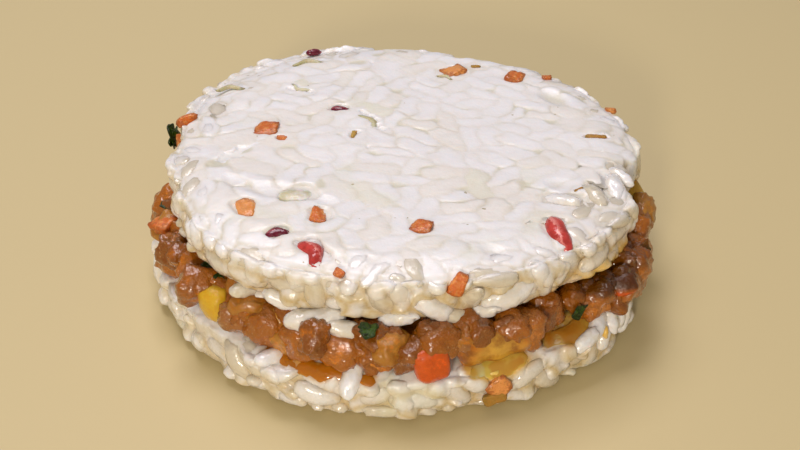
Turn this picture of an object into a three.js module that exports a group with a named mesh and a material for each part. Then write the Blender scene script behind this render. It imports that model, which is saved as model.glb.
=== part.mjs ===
// Rice burger: two round patties of pressed rice with a diced, sauced filling between them.
// Millimetres, +Z up. The origin is the centre of the flat face that the burger rests on.
import * as THREE from "three";
import { ImprovedNoise } from "three/addons/math/ImprovedNoise.js";

// Driving sizes.
const LOWER_RADIUS = 48.2; // mean radius of the patty underneath
const UPPER_RADIUS = 46.9; // mean radius of the patty on top
const FILLING_RADIUS = 46.6; // mean reach of the filling between its bulges
const PATTY_HEIGHT = 10;
const FILLING_HEIGHT = 6.4;
const GAP = 0.3; // clearance between neighbouring layers
const UPPER_SET_BACK = 4.2; // how far the top patty sits towards the back
const FILLING_SET_BACK = 1.2;

// The patties are pressed in a hoop, so their edges are rounded by about a grain.
const GRAIN_WIDTH = 3.3;
const PATTY_EDGE = 0.7 * GRAIN_WIDTH;
const FILLING_EDGE = 0.5 * GRAIN_WIDTH;
const DICE = 5.5; // size of the diced meat that makes the filling lumpy

// Grid of each layer.
const SEGMENTS = 90;
const EDGE_STEPS = 2;
const SIDE_STEPS = 3;

const noise = new ImprovedNoise();
const degrees = THREE.MathUtils.degToRad;
const smoothstep = THREE.MathUtils.smoothstep;

// Perlin noise in -1..1, whose lumps are about pitch millimetres apart.
function lumps(x, y, z, pitch) {
  return noise.noise(x / pitch + 7.3, y / pitch + 3.1, z / pitch + 5.7);
}

// A closed outline: a mean radius and a few slow waves, each [count, height, direction in degrees].
function outline(mean, waves) {
  return (angle) =>
    waves.reduce(
      (radius, [count, height, direction]) =>
        radius + height * Math.cos(count * (angle - degrees(direction))),
      mean,
    );
}

// The same outline with local bulges, each [direction in degrees, half width, reach]. A negative reach is a dent.
function withBulges(base, bulges) {
  return (angle) =>
    bulges.reduce((radius, [direction, halfWidth, reach]) => {
      const turn = angle - degrees(direction);
      const away = Math.abs(Math.atan2(Math.sin(turn), Math.cos(turn)));
      return radius + reach * (1 - smoothstep(away, 0, degrees(halfWidth)));
    }, base(angle));
}

// Unevenness where two layers meet. It fades out under the middle, where nothing shows.
function meetingRelief(x, y, height) {
  return height * lumps(x, y, 0, 10) * smoothstep(Math.hypot(x, y), 32, 44);
}

// Half of the section through a layer, as shares of its radius and its height:
// out along the underside, round the lower edge, up the side, round the upper edge and in along the top.
function section(radius, height, edge) {
  const inner = 1 - edge / radius;
  const flat = [0, 0.3, 0.55, 0.74, 0.86].map((share) => share * inner);
  const side = (1 - (2 * edge) / height) / SIDE_STEPS;
  const lower = [];
  for (const share of flat) lower.push(new THREE.Vector2(share, 0));
  for (let i = 0; i <= EDGE_STEPS; i++) {
    const turn = (i / EDGE_STEPS) * (Math.PI / 2);
    lower.push(new THREE.Vector2(inner + (1 - inner) * Math.sin(turn), (edge / height) * (1 - Math.cos(turn))));
  }
  const upper = lower.map((p) => new THREE.Vector2(p.x, 1 - p.y)).reverse();
  const wall = [];
  for (let i = 1; i < SIDE_STEPS; i++) wall.push(new THREE.Vector2(1, edge / height + i * side));
  return [...lower, ...wall, ...upper];
}

// One layer of the burger, closed all round. reach(angle) is its outline, floor(x, y) and roof(x, y) are the
// heights of its underside and top, and bumps is the height and pitch of the lumps round its side.
function layer(name, material, { radius, height, edge, reach, floor, roof, bumps, centre = 0 }) {
  const geometry = new THREE.LatheGeometry(section(radius, height, edge), SEGMENTS).rotateX(Math.PI / 2);
  const position = geometry.attributes.position;
  for (let i = 0; i < position.count; i++) {
    const [across, along, rise] = [position.getX(i), position.getY(i), position.getZ(i)];
    const share = Math.hypot(across, along);
    const angle = Math.atan2(along, across);
    const nearRim = share ** 6;
    const smooth = reach(angle) * share;
    const swell = bumps.height * lumps(smooth * Math.cos(angle), smooth * Math.sin(angle), rise * height, bumps.pitch);
    const out = smooth + nearRim * swell;
    const x = out * Math.cos(angle);
    const y = centre + out * Math.sin(angle);
    position.setXYZ(i, x, y, floor(x, y) + rise * (roof(x, y) - floor(x, y)));
  }
  geometry.computeVertexNormals();
  const mesh = new THREE.Mesh(geometry, material);
  mesh.name = name;
  return mesh;
}

// Heights of the surfaces, from the plate up.
const LOWER_TOP = PATTY_HEIGHT;
const FILLING_TOP = LOWER_TOP + GAP + FILLING_HEIGHT;
const UPPER_TOP = FILLING_TOP + GAP + PATTY_HEIGHT;
const MEETING_RELIEF = 0.9;
const PRESSED_RELIEF = 0.35;

const restingFace = () => 0;
const lowerTop = (x, y) => LOWER_TOP + meetingRelief(x, y, MEETING_RELIEF);
const fillingFloor = (x, y) => lowerTop(x, y) + GAP;
const fillingTop = (x, y) => FILLING_TOP + meetingRelief(-y, x, MEETING_RELIEF);
const upperFloor = (x, y) => fillingTop(x, y) + GAP;
const pressedTop = (x, y) => UPPER_TOP + PRESSED_RELIEF * lumps(x, y, 40, 9);

const lowerOutline = outline(LOWER_RADIUS, [
  [2, 0.8, 172],
  [5, 0.5, -112],
]);
// A few grains have dropped out of the top patty's edge on the right.
const upperOutline = withBulges(
  outline(UPPER_RADIUS, [
    [2, 1.7, -37],
    [3, 1.4, 4],
    [4, 0.8, 38],
  ]),
  [[-13, 12, -4.2]],
);
// The filling was squeezed out at both ends and a little at the back.
const fillingOutline = withBulges(
  outline(FILLING_RADIUS, [
    [3, 0.5, 30],
    [7, 0.4, 10],
  ]),
  [
    [-27, 22, 5.4],
    [-3, 18, 3.4],
    [-165, 26, 2.2],
    [96, 30, 1.6],
  ],
);

const rice = new THREE.MeshStandardMaterial({ color: 0xefe9df, roughness: 0.45, metalness: 0 });
const sauced = new THREE.MeshStandardMaterial({ color: 0x9a5a24, roughness: 0.3, metalness: 0 });

const layers = new THREE.Group();
layers.add(
  layer("rice_patty_lower", rice, {
    radius: LOWER_RADIUS,
    height: PATTY_HEIGHT,
    edge: PATTY_EDGE,
    reach: lowerOutline,
    floor: restingFace,
    roof: lowerTop,
    bumps: { height: 1.5, pitch: 2 * GRAIN_WIDTH },
  }),
  layer("filling", sauced, {
    radius: FILLING_RADIUS,
    height: FILLING_HEIGHT,
    edge: FILLING_EDGE,
    reach: fillingOutline,
    floor: fillingFloor,
    roof: fillingTop,
    bumps: { height: 2.6, pitch: 1.2 * DICE },
    centre: FILLING_SET_BACK,
  }),
  layer("rice_patty_upper", rice, {
    radius: UPPER_RADIUS,
    height: PATTY_HEIGHT,
    edge: PATTY_EDGE,
    reach: upperOutline,
    floor: upperFloor,
    roof: pressedTop,
    bumps: { height: 1.5, pitch: 2 * GRAIN_WIDTH },
    centre: UPPER_SET_BACK,
  }),
);

// The origin goes to the middle of the whole burger's footprint.
const box = new THREE.Box3().setFromObject(layers);
layers.position.set(-(box.min.x + box.max.x) / 2, -(box.min.y + box.max.y) / 2, -box.min.z);

const burger = new THREE.Group();
burger.add(layers);

export default burger;
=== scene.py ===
"""Looks for the rice burger: patties of pressed, cooked grains, and a diced, sauced filling between them."""

import math
from functools import partial
from typing import Callable, NamedTuple

import bpy
import numpy as np
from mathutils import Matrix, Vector
from mathutils.bvhtree import BVHTree
from mathutils.kdtree import KDTree


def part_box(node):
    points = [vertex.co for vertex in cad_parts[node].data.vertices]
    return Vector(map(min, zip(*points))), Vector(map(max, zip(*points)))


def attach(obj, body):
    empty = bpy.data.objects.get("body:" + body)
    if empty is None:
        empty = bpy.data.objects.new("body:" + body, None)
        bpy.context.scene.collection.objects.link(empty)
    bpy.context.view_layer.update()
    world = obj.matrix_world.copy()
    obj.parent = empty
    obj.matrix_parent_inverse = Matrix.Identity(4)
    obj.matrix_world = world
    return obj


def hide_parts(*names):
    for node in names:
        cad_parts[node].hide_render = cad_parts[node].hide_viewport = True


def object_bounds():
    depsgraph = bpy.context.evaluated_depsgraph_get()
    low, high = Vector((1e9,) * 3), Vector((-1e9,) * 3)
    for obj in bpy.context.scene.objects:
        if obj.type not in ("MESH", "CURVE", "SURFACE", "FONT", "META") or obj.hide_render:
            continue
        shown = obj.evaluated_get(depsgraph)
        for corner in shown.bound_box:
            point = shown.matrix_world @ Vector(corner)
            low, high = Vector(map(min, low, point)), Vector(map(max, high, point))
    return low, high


bl_info = {
    "name": "Rice Burger",
    "version": (1, 0, 0),
    "blender": (4, 5, 0),
    "location": "3D View > Sidebar > Rice Burger",
    "description": "Makes a rice burger around its packed layers",
    "category": "Add Mesh",
}

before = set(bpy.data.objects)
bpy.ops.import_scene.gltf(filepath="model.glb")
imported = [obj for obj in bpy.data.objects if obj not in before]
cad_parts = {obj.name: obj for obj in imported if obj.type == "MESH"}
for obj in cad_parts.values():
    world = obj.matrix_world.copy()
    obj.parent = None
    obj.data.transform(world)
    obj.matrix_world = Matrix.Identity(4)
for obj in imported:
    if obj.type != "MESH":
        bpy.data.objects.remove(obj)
CAD_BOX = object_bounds()

MM = 0.001
BODY = "root"
UPPER = "rice_patty_upper"
FILLING = "filling"
LOWER = "rice_patty_lower"
RICE_SLOT = "pressed_rice"
FILLING_SLOT = "sauced_filling"
VEGETABLE_SLOT = "vegetables"
ELEVATION = math.radians(33.8)
PATTY_TRIANGLES = 190_000
SAUCE_TRIANGLES = 120_000
UP = np.array([0.0, 0.0, 1.0])


# ---------------------------------------------------------------- settings


def length(name, description, default):
    """A size in metres."""
    look = {"precision": 5, "subtype": "DISTANCE", "unit": "LENGTH"}
    return bpy.props.FloatProperty(name=name, description=description, default=default, min=0, **look)


def colour(name, description, default):
    """A colour."""
    look = {"size": 3, "min": 0, "max": 1, "subtype": "COLOR"}
    return bpy.props.FloatVectorProperty(name=name, description=description, default=default, **look)


class RiceSettings(bpy.types.PropertyGroup):
    """Cooked grains and how they are pressed"""

    grain_length: length("Grain length", "Length of a cooked grain", 9.0 * MM)
    grain_width: length("Grain width", "Width of a cooked grain", 4.2 * MM)
    grain_height: length("Grain height", "Height of a cooked grain lying flat", 3.4 * MM)
    proud: length("Standing proud", "How far grains stand out before pressing", 0.75 * MM)
    pressed_face: length("Left on the faces", "What pressing leaves of that on the faces", 0.10 * MM)
    pressed_side: length("Left on the sides", "What pressing leaves of that on the sides", 0.9 * MM)
    hollow_face: length("Hollows on the faces", "How deep hollows stay on the faces", 0.28 * MM)
    hollow_side: length("Hollows on the sides", "How deep hollows stay on the sides", 1.7 * MM)
    worn_rim: length("Worn rim", "How far the rims of the faces are rounded off", 1.5 * MM)
    rim_gap: length("Rim gap", "How much lower the stuck rice lies under the grains on a rim", 0.15 * MM)
    step: length("Step", "Most that one pressed grain lies higher than the next", 0.06 * MM)
    seam_width: length("Seam width", "How wide the seams between pressed grains are", 0.75 * MM)
    socket: length("Socket", "How deep the rice lies under the bits in it", 0.45 * MM)
    voxel: length("Skin detail", "Size of the cells in which grains are stuck together", 0.36 * MM)
    white: colour("White grain", "Most grains", (0.82, 0.81, 0.83))
    clear: colour("Clear grain", "The more translucent grains", (0.80, 0.77, 0.745))
    glassy: colour("Glassy grain", "The most translucent whole grains", (0.62, 0.56, 0.455))
    green: colour("Greenish grain", "The few greenish grains", (0.74, 0.73, 0.62))
    # Edge, seam and contour colours are partly the grains' own look and partly painted shade: they are laid
    # on most strongly on the sides, which are painted warmer and darker than the faces.
    edge: colour("Edge", "The clearer edge of a grain", (0.70, 0.62, 0.46))
    seam: colour("Seam", "Where grains are pressed together", (0.56, 0.42, 0.20))
    contour: colour("Contour", "Seams on the faces", (0.62, 0.57, 0.46))
    # The crevice and hollow colours are painted shade, laid deep in the crevices of the sides and in the
    # hollows of the faces.
    crevice_shade: colour("Crevice", "Deep between the grains", (0.56, 0.38, 0.16))
    hollow: colour("Hollow", "Shallow hollows in the faces", (0.60, 0.57, 0.41))
    stain: colour("Stain", "Rice that the sauce has soaked", (0.58, 0.30, 0.06))
    amber: colour("Amber", "Rice under the yellow, clear sauce", (0.85, 0.58, 0.13))
    olive: colour("Olive", "Broad, faint patches of bran water", (0.70, 0.72, 0.48))
    fleck: colour("Fleck", "Specks of bran", (0.30, 0.24, 0.08))
    red: colour("Red grain", "Red rice grains", (0.56, 0.055, 0.045))
    purple: colour("Dark grain", "Purplish rice grains", (0.16, 0.012, 0.03))


class FillingSettings(bpy.types.PropertyGroup):
    """Diced filling and its sauce"""

    dice: length("Dice", "Width of the diced meat", 5.4 * MM)
    sauce_depth: length("Sauce depth", "How far the core of sauce lies inside the filling", 1.6 * MM)
    film: length("Film", "How thick the thin sauce lies on the rice", 0.4 * MM)
    meat: colour("Meat", "Cooked meat", (0.62, 0.195, 0.016))
    dark_meat: colour("Dark meat", "The most browned meat", (0.22, 0.068, 0.010))
    pale_meat: colour("Pale meat", "The fattest meat", (0.50, 0.24, 0.09))
    sauce: colour("Sauce", "Thick sauce", (0.54, 0.155, 0.006))
    gravy: colour("Gravy", "Clear streaks in the thick sauce", (0.90, 0.52, 0.04))
    carrot: colour("Carrot", "Bright carrot", (0.92, 0.13, 0.004))
    corn: colour("Sweetcorn", "Sweetcorn", (0.98, 0.60, 0.03))
    onion: colour("Onion", "Onion, soaked with sauce", (0.60, 0.26, 0.03))
    leaf: colour("Leaf", "Chopped greens", (0.035, 0.085, 0.002))


class StageSettings(bpy.types.PropertyGroup):
    """Camera, lights and floor"""

    elevation: bpy.props.FloatProperty(
        name="Elevation", description="Camera's angle above the floor", default=ELEVATION, subtype="ANGLE"
    )
    distance: length("Distance", "From the camera to what it looks at", 260 * MM)
    lens: bpy.props.FloatProperty(name="Lens", description="Focal length in millimetres", default=53.8)
    floor: colour("Floor", "The floor", (0.60, 0.49, 0.26))


# ---------------------------------------------------------------- mesh helpers


def only(obj):
    """Selects one object and makes it the active one."""
    bpy.ops.object.select_all(action="DESELECT")
    obj.select_set(True)
    bpy.context.view_layer.objects.active = obj
    return obj


def edit(obj, *steps):
    """Runs steps on an object in edit mode."""
    only(obj)
    bpy.ops.object.mode_set(mode="EDIT")
    for step in steps:
        step()
    bpy.ops.object.mode_set(mode="OBJECT")


def select_all():
    """Selects all of the mesh that is being edited."""
    bpy.ops.mesh.select_all(action="SELECT")


def choose(obj, test):
    """Selects the vertices whose places pass a test, ready for edit mode."""
    edit(obj, lambda: bpy.ops.mesh.select_all(action="DESELECT"))
    for vertex in obj.data.vertices:
        vertex.select = test(vertex.co)


def modify(obj, kind, **settings):
    """Adds a modifier and applies it."""
    only(obj)
    modifier = obj.modifiers.new(kind.title(), kind)
    for key, value in settings.items():
        setattr(modifier, key, value)
    bpy.ops.object.modifier_apply(modifier=modifier.name)


def places(mesh):
    """A mesh's vertices as an array."""
    flat = np.empty(3 * len(mesh.vertices), np.float32)
    mesh.vertices.foreach_get("co", flat)
    return flat.reshape(-1, 3).astype(float)


def set_places(mesh, points):
    """Moves a mesh's vertices."""
    mesh.vertices.foreach_set("co", points.astype(np.float32).ravel())
    mesh.update()


def triangles(mesh):
    """A mesh's triangles as an array of vertex numbers."""
    mesh.calc_loop_triangles()
    flat = np.empty(3 * len(mesh.loop_triangles), np.int32)
    mesh.loop_triangles.foreach_get("vertices", flat)
    return flat.reshape(-1, 3)


def mesh_object(name, points, corners):
    """A new object from vertices and triangles."""
    mesh = bpy.data.meshes.new(name)
    mesh.vertices.add(len(points))
    mesh.loops.add(corners.size)
    mesh.polygons.add(len(corners))
    mesh.loops.foreach_set("vertex_index", corners.astype(np.int32).ravel())
    mesh.polygons.foreach_set("loop_start", np.arange(0, corners.size, 3, dtype=np.int32))
    mesh.update(calc_edges=True)
    set_places(mesh, points)
    obj = bpy.data.objects.new(name, mesh)
    bpy.context.scene.collection.objects.link(obj)
    return obj


def mark(mesh, name, values):
    """Keeps one number, or one vector, for each vertex."""
    kind = "FLOAT" if values.ndim == 1 else "FLOAT_VECTOR"
    attribute = mesh.attributes.new(name, kind, "POINT")
    attribute.data.foreach_set("value" if values.ndim == 1 else "vector", values.astype(np.float32).ravel())


def unmark(mesh, *names):
    """Drops values kept by an earlier mark."""
    for name in names:
        if name in mesh.attributes:
            mesh.attributes.remove(mesh.attributes[name])


def copies(name, variants, matrices, kinds, tones):
    """One mesh of turned copies, which keeps each one's tone and each vertex's place in its variant."""
    shapes = [(places(v.data), triangles(v.data)) for v in variants]
    points, corners, own, tone, start = [], [], [], [], 0
    for matrix, kind, value in zip(matrices, kinds, tones):
        local, faces = shapes[kind]
        points.append(local @ matrix[:3, :3].T + matrix[:3, 3])
        corners.append(faces + start)
        own.append(local)
        tone.append(np.full(len(local), value))
        start += len(local)
    obj = mesh_object(name, np.concatenate(points), np.concatenate(corners))
    mark(obj.data, "own_place", np.concatenate(own) / MM)
    mark(obj.data, "tone", np.concatenate(tone))
    return obj


def finish_piece(obj, material, slot, *nodes):
    """Shades a finished piece smooth and ties it to the frame."""
    obj.data.materials.clear()
    obj.data.materials.append(material)
    only(obj)
    bpy.ops.object.shade_smooth()
    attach(obj, BODY)
    if nodes:
        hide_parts(*nodes)


def discard(objects):
    """Deletes the shapes that copies were taken from."""
    for obj in objects:
        bpy.data.objects.remove(obj)


def unit(vectors):
    """Vectors of length one."""
    return vectors / (np.linalg.norm(vectors, axis=-1, keepdims=True) + 1e-12)


class Layer:
    """The outside of one CAD layer."""

    def __init__(self, node):
        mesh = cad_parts[node].data
        self.points = places(mesh)
        self.corners = triangles(mesh)
        self.tree = BVHTree.FromPolygons(self.points.tolist(), self.corners.tolist())
        low, high = (np.array(corner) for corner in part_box(node))
        self.high, self.middle = high, (low + high) / 2
        self.radius = (high - low)[:2].mean() / 2
        a, b, c = self.corner_places(self.corners)
        facing = np.cross(b - a, c - a)
        _, same = np.unique(np.round(self.points / (0.01 * MM)), axis=0, return_inverse=True)
        same = same.ravel()
        summed = np.zeros((same.max() + 1, 3))
        for k in range(3):
            np.add.at(summed, same[self.corners[:, k]], facing)
        self.normals = unit(summed)[same]

    def corner_places(self, corners):
        """The places of the first, the second and the third corner of each triangle."""
        return (self.points[corners[:, k]] for k in range(3))

    def depths(self, points):
        """How far inside the layer each point is, and the way out from there."""
        depth, hit, face = np.empty(len(points)), np.empty((len(points), 3)), np.empty(len(points), int)
        for i, point in enumerate(points.tolist()):
            nearest, normal, face[i], away = self.tree.find_nearest(point)
            hit[i] = nearest
            depth[i] = math.copysign(away, (nearest - Vector(point)).dot(normal))
        corners = self.corners[face]
        a, b, c = self.corner_places(corners)
        area = np.cross(b - a, c - a)
        whole = (area**2).sum(1) + 1e-30
        share_b = (np.cross(hit - a, c - a) * area).sum(1) / whole
        share_c = (np.cross(b - a, hit - a) * area).sum(1) / whole
        shares = np.stack([1 - share_b - share_c, share_b, share_c], axis=1)
        return depth, unit((self.normals[corners] * shares[:, :, None]).sum(1))

    def measure(self, obj):
        """Where an object's vertices are, how far inside the layer, and the way out from there."""
        points = places(obj.data)
        return points, *self.depths(points)

    def scatter(self, spacing_area, rng, wanted):
        """Random points on the surface, one for each spacing_area, where wanted(points, normals) holds."""
        a, b, c = self.corner_places(self.corners)
        cross = np.cross(b - a, c - a)
        area = np.linalg.norm(cross, axis=1) / 2
        count = int(area.sum() / spacing_area)
        pick = rng.choice(len(area), count, p=area / area.sum())
        s, t = rng.random((2, count))
        s, t = np.where(s + t > 1, 1 - s, s), np.where(s + t > 1, 1 - t, t)
        points = a[pick] + (b - a)[pick] * s[:, None] + (c - a)[pick] * t[:, None]
        normals = cross[pick] / (2 * area[pick])[:, None]
        keep = wanted(points, normals)
        return points[keep], normals[keep]

    def from_middle(self, points):
        """Each point's distance from the layer's axis, as a share of its radius."""
        return np.linalg.norm(points[:, :2] - self.middle[:2], axis=1) / self.radius


# ---------------------------------------------------------------- packing


class Lumps:
    """Lumps, each taken as a row of balls, that settle beside each other in a layer's skin."""

    BALLS = 5
    SHARES = np.linspace(-1, 1, BALLS)
    GIVE = 0.35  # How much of an overlap is undone at a time
    PULL = 0.7  # How much of a wrong depth is undone at a time
    STIFF = 0.3  # How much a ball's own radius holds a lump from turning
    REFRESH = 4  # After how many turns neighbours are looked for again

    def __init__(self, middles, along, half, radius):
        count = len(middles)
        self.middles, self.along = middles.copy(), unit(along)
        self.half = np.broadcast_to(half, count).astype(float).copy()
        self.radius = np.broadcast_to(radius, count).astype(float).copy()
        self.shallow = np.zeros((count, self.BALLS))
        self.deep = np.full((count, self.BALLS), np.inf)
        self.held = np.zeros(count, bool)

    def balls(self):
        """The balls' places, one row for each lump."""
        reach = self.half[:, None] * self.SHARES
        return self.middles[:, None] + self.along[:, None] * reach[:, :, None]

    def add(self, other):
        """Takes in the lumps of another set."""
        for key in ("middles", "along", "half", "radius", "shallow", "deep", "held"):
            setattr(self, key, np.concatenate([getattr(self, key), getattr(other, key)]))

    def only(self, chosen):
        """The chosen lumps."""
        lumps = Lumps(self.middles[chosen], self.along[chosen], self.half[chosen], self.radius[chosen])
        lumps.held = self.held[chosen]
        return lumps

    def _neighbours(self):
        reach = self.half + self.radius
        gaps = np.linalg.norm(self.middles[:, None] - self.middles[None], axis=2)
        return np.nonzero(np.triu(gaps < reach[:, None] + reach[None], 1))

    def settle(self, layer, rounds):
        """Pushes lumps apart and into the skin until they lie side by side."""
        for turn in range(rounds):
            if turn % self.REFRESH == 0:
                first, second = self._neighbours()
            balls = self.balls()
            apart = balls[first][:, :, None] - balls[second][:, None]
            gap = np.linalg.norm(apart, axis=3) + 1e-9
            room = (self.radius[first] + self.radius[second])[:, None, None]
            push = apart * (np.clip(room - gap, 0, None) / gap * self.GIVE)[..., None]
            shift = np.zeros_like(balls)
            np.add.at(shift, first, push.sum(2))
            np.add.at(shift, second, -push.sum(1))
            depth, out = layer.depths(balls.reshape(-1, 3))
            depth, out = depth.reshape(balls.shape[:2]), out.reshape(balls.shape)
            wrong = np.clip(self.shallow - depth, 0, None) - np.clip(depth - self.deep, 0, None)
            shift -= out * wrong[:, :, None] * self.PULL
            shift[self.held] = 0
            self.middles += shift.mean(1)
            twist = (shift * self.SHARES[None, :, None]).sum(1) / (self.SHARES**2).sum()
            self.along = unit(self.along + twist / (self.half[:, None] + self.radius[:, None] * self.STIFF))

    def matrices(self, layer, scales, rolls=None):
        """Each lump's placing: X along it, Z out of the layer, scaled by its row of scales."""
        _, out = layer.depths(self.middles)
        sideways = unit(np.cross(out, self.along) + 1e-6)
        upward = np.cross(self.along, sideways)
        if rolls is not None:
            c, s = np.cos(rolls)[:, None], np.sin(rolls)[:, None]
            sideways, upward = sideways * c + upward * s, upward * c - sideways * s
        result = np.zeros((len(self.middles), 4, 4))
        for k, axis in enumerate((self.along, sideways, upward)):
            result[:, :3, k] = axis * scales[:, k, None]
        result[:, :3, 3] = self.middles
        result[:, 3, 3] = 1
        return result


def across(normals, rng):
    """A random direction along the surface at each normal."""
    return unit(np.cross(normals, rng.normal(size=normals.shape)))


# ---------------------------------------------------------------- materials

# Shades that go with the colours in the settings.
CLEAR_GREEN = (0.56, 0.52, 0.36)
# The colour towards which painted shade, deep in the filling, darkens cooked vegetables.
SAUCE_SHADOW = (0.42, 0.125, 0.008)
FAT = (0.60, 0.36, 0.17)
CLEAR_SAUCE = (0.60, 0.34, 0.045)
CLEAR_SAUCE_SHADOW = (0.30, 0.11, 0.01)
THIN_BROWN = (0.66, 0.33, 0.07)
THIN_YELLOW = (0.88, 0.76, 0.44)
DEEP_YELLOW = (0.78, 0.50, 0.09)
# How far red, green and blue light pass into rice and into other food, as shares of the whole.
RICE_LIGHT = (0.75, 0.9, 1.0)
FLESH_LIGHT = (1.0, 0.5, 0.2)


def darker(tint, share):
    """A colour, darkened to a share of itself."""
    return tuple(share * c for c in tint)


def tint_of(settings, tint):
    """A colour that is given as it is, or as a setting's name and a share to darken it to."""
    return darker(getattr(settings, tint[0]), tint[1]) if isinstance(tint[0], str) else tint


class Finish:
    """Builds one material's nodes."""

    def __init__(self, name, **values):
        self.material = bpy.data.materials.new(name)
        self.material.use_nodes = True
        self.nodes = self.material.node_tree.nodes
        self.shader = self.nodes["Principled BSDF"]
        for key, value in values.items():
            self.shader.inputs[key.replace("_", " ").title().replace("Ior", "IOR")].default_value = value

    def node(self, kind, inputs=(), **settings):
        """A node with its settings, and its inputs linked or set by name."""
        node = self.nodes.new("ShaderNode" + kind)
        for key, value in settings.items():
            setattr(node, key, value)
        for key, value in dict(inputs).items():
            self.give(node, key, value)
        return node

    def give(self, node, key, value):
        """Links a socket to an input, or sets the input."""
        if isinstance(value, bpy.types.NodeSocket):
            self.material.node_tree.links.new(value, node.inputs[key])
        else:
            node.inputs[key].default_value = value

    def attribute(self, name, output="Fac"):
        return self.node("Attribute", attribute_name=name).outputs[output]

    def own_place(self):
        """Where a point lies in its own bit."""
        return self.attribute("own_place", "Vector")

    def noise(self, scale, detail=3.0, roughness=0.6, vector=None):
        vector = vector or self.node("TexCoord").outputs["Object"]
        inputs = {"Vector": vector, "Scale": scale, "Detail": detail, "Roughness": roughness}
        return self.node("TexNoise", inputs).outputs["Fac"]

    def range(self, value, low, high, to_low=0.0, to_high=1.0):
        inputs = {"Value": value, "From Min": low, "From Max": high, "To Min": to_low, "To Max": to_high}
        return self.node("MapRange", inputs, interpolation_type="SMOOTHSTEP").outputs["Result"]

    def patches(self, scale, between, to=(0.0, 1.0), detail=3.0, roughness=0.6, vector=None):
        """Noise whose values between two levels are brought to a range."""
        return self.range(self.noise(scale, detail, roughness, vector), *between, *to)

    def math(self, operation, a, b=0.0):
        node = self.node("Math", operation=operation)
        self.give(node, 0, a)
        self.give(node, 1, b)
        return node.outputs[0]

    def times(self, a, b):
        return self.math("MULTIPLY", a, b)

    def plus(self, a, b):
        return self.math("ADD", a, b)

    def reach(self, own, scale, most, vector=None):
        """How far a point lies from the middle of its own bit, a little unevenly."""
        away = self.node("VectorMath", {0: vector or own}, operation="LENGTH").outputs["Value"]
        return self.plus(away, self.patches(scale, (0.3, 0.7), (-most, most), vector=own))

    def blend(self, factor, a, b):
        node = self.node("Mix", data_type="RGBA")
        self.give(node, 0, factor)
        for index, value in ((6, a), (7, b)):
            is_link = isinstance(value, bpy.types.NodeSocket)
            self.give(node, index, value if is_link else (*value, 1.0))
        return node.outputs[2]

    def bump(self, height, strength, distance, under=None):
        inputs = {"Height": height, "Strength": strength, "Distance": distance}
        if under is not None:
            inputs["Normal"] = under
        return self.node("Bump", inputs).outputs["Normal"]

    def set(self, **links):
        """Gives the shader its inputs, and its coat the same bumps as what lies under it."""
        for key, value in links.items():
            self.give(self.shader, key.replace("_", " "), value)
        if "Normal" in links:
            self.give(self.shader, "Coat Normal", links["Normal"])
        return self.material


def soft_finish(name, through, coat, roughness, light_depth=1.5 * MM):
    """Moist food that light passes into, reddest the deepest."""
    return Finish(
        name,
        subsurface_weight=through,
        subsurface_radius=FLESH_LIGHT,
        subsurface_scale=light_depth,
        coat_weight=coat,
        coat_roughness=0.07,
        roughness=roughness,
        specular_ior_level=0.2,
    )


def grain_finish(name, settings, coat=0.6, through=0.5, whole=True):
    """Moist cooked rice, each grain its own tone; whole ones are more uneven and more translucent."""
    f = Finish(
        name,
        subsurface_weight=through,
        subsurface_radius=RICE_LIGHT,
        subsurface_scale=1.1 * MM,
        coat_weight=coat,
        coat_roughness=0.1,
    )
    tone, clearest = f.attribute("tone"), settings.glassy if whole else settings.clear
    base = f.blend(f.range(tone, 0.3 if whole else 0.5, 0.8), settings.white, clearest)
    base = f.blend(f.range(tone, 0.975, 0.985, 0, 0.7), base, settings.green)
    return f, f.blend(f.times(f.patches(420, (0.45, 0.75), detail=4), 0.3), base, settings.clear)


def wet_grain_surface(f, base, face=0.0):
    """The fine skin of cooked rice, glossier in patches and duller on the pressed faces."""
    fine = f.bump(f.noise(1300), 0.25, 0.15 * MM)
    broad = f.bump(f.noise(420), f.math("SUBTRACT", 0.55, f.times(face, 0.3)), 0.45 * MM, fine)
    rough = f.plus(f.patches(700, (0.3, 0.7), (0.13, 0.34), 2, 0.5), f.times(face, 0.16))
    return f.set(Base_Color=base, Normal=broad, Roughness=rough)


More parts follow.
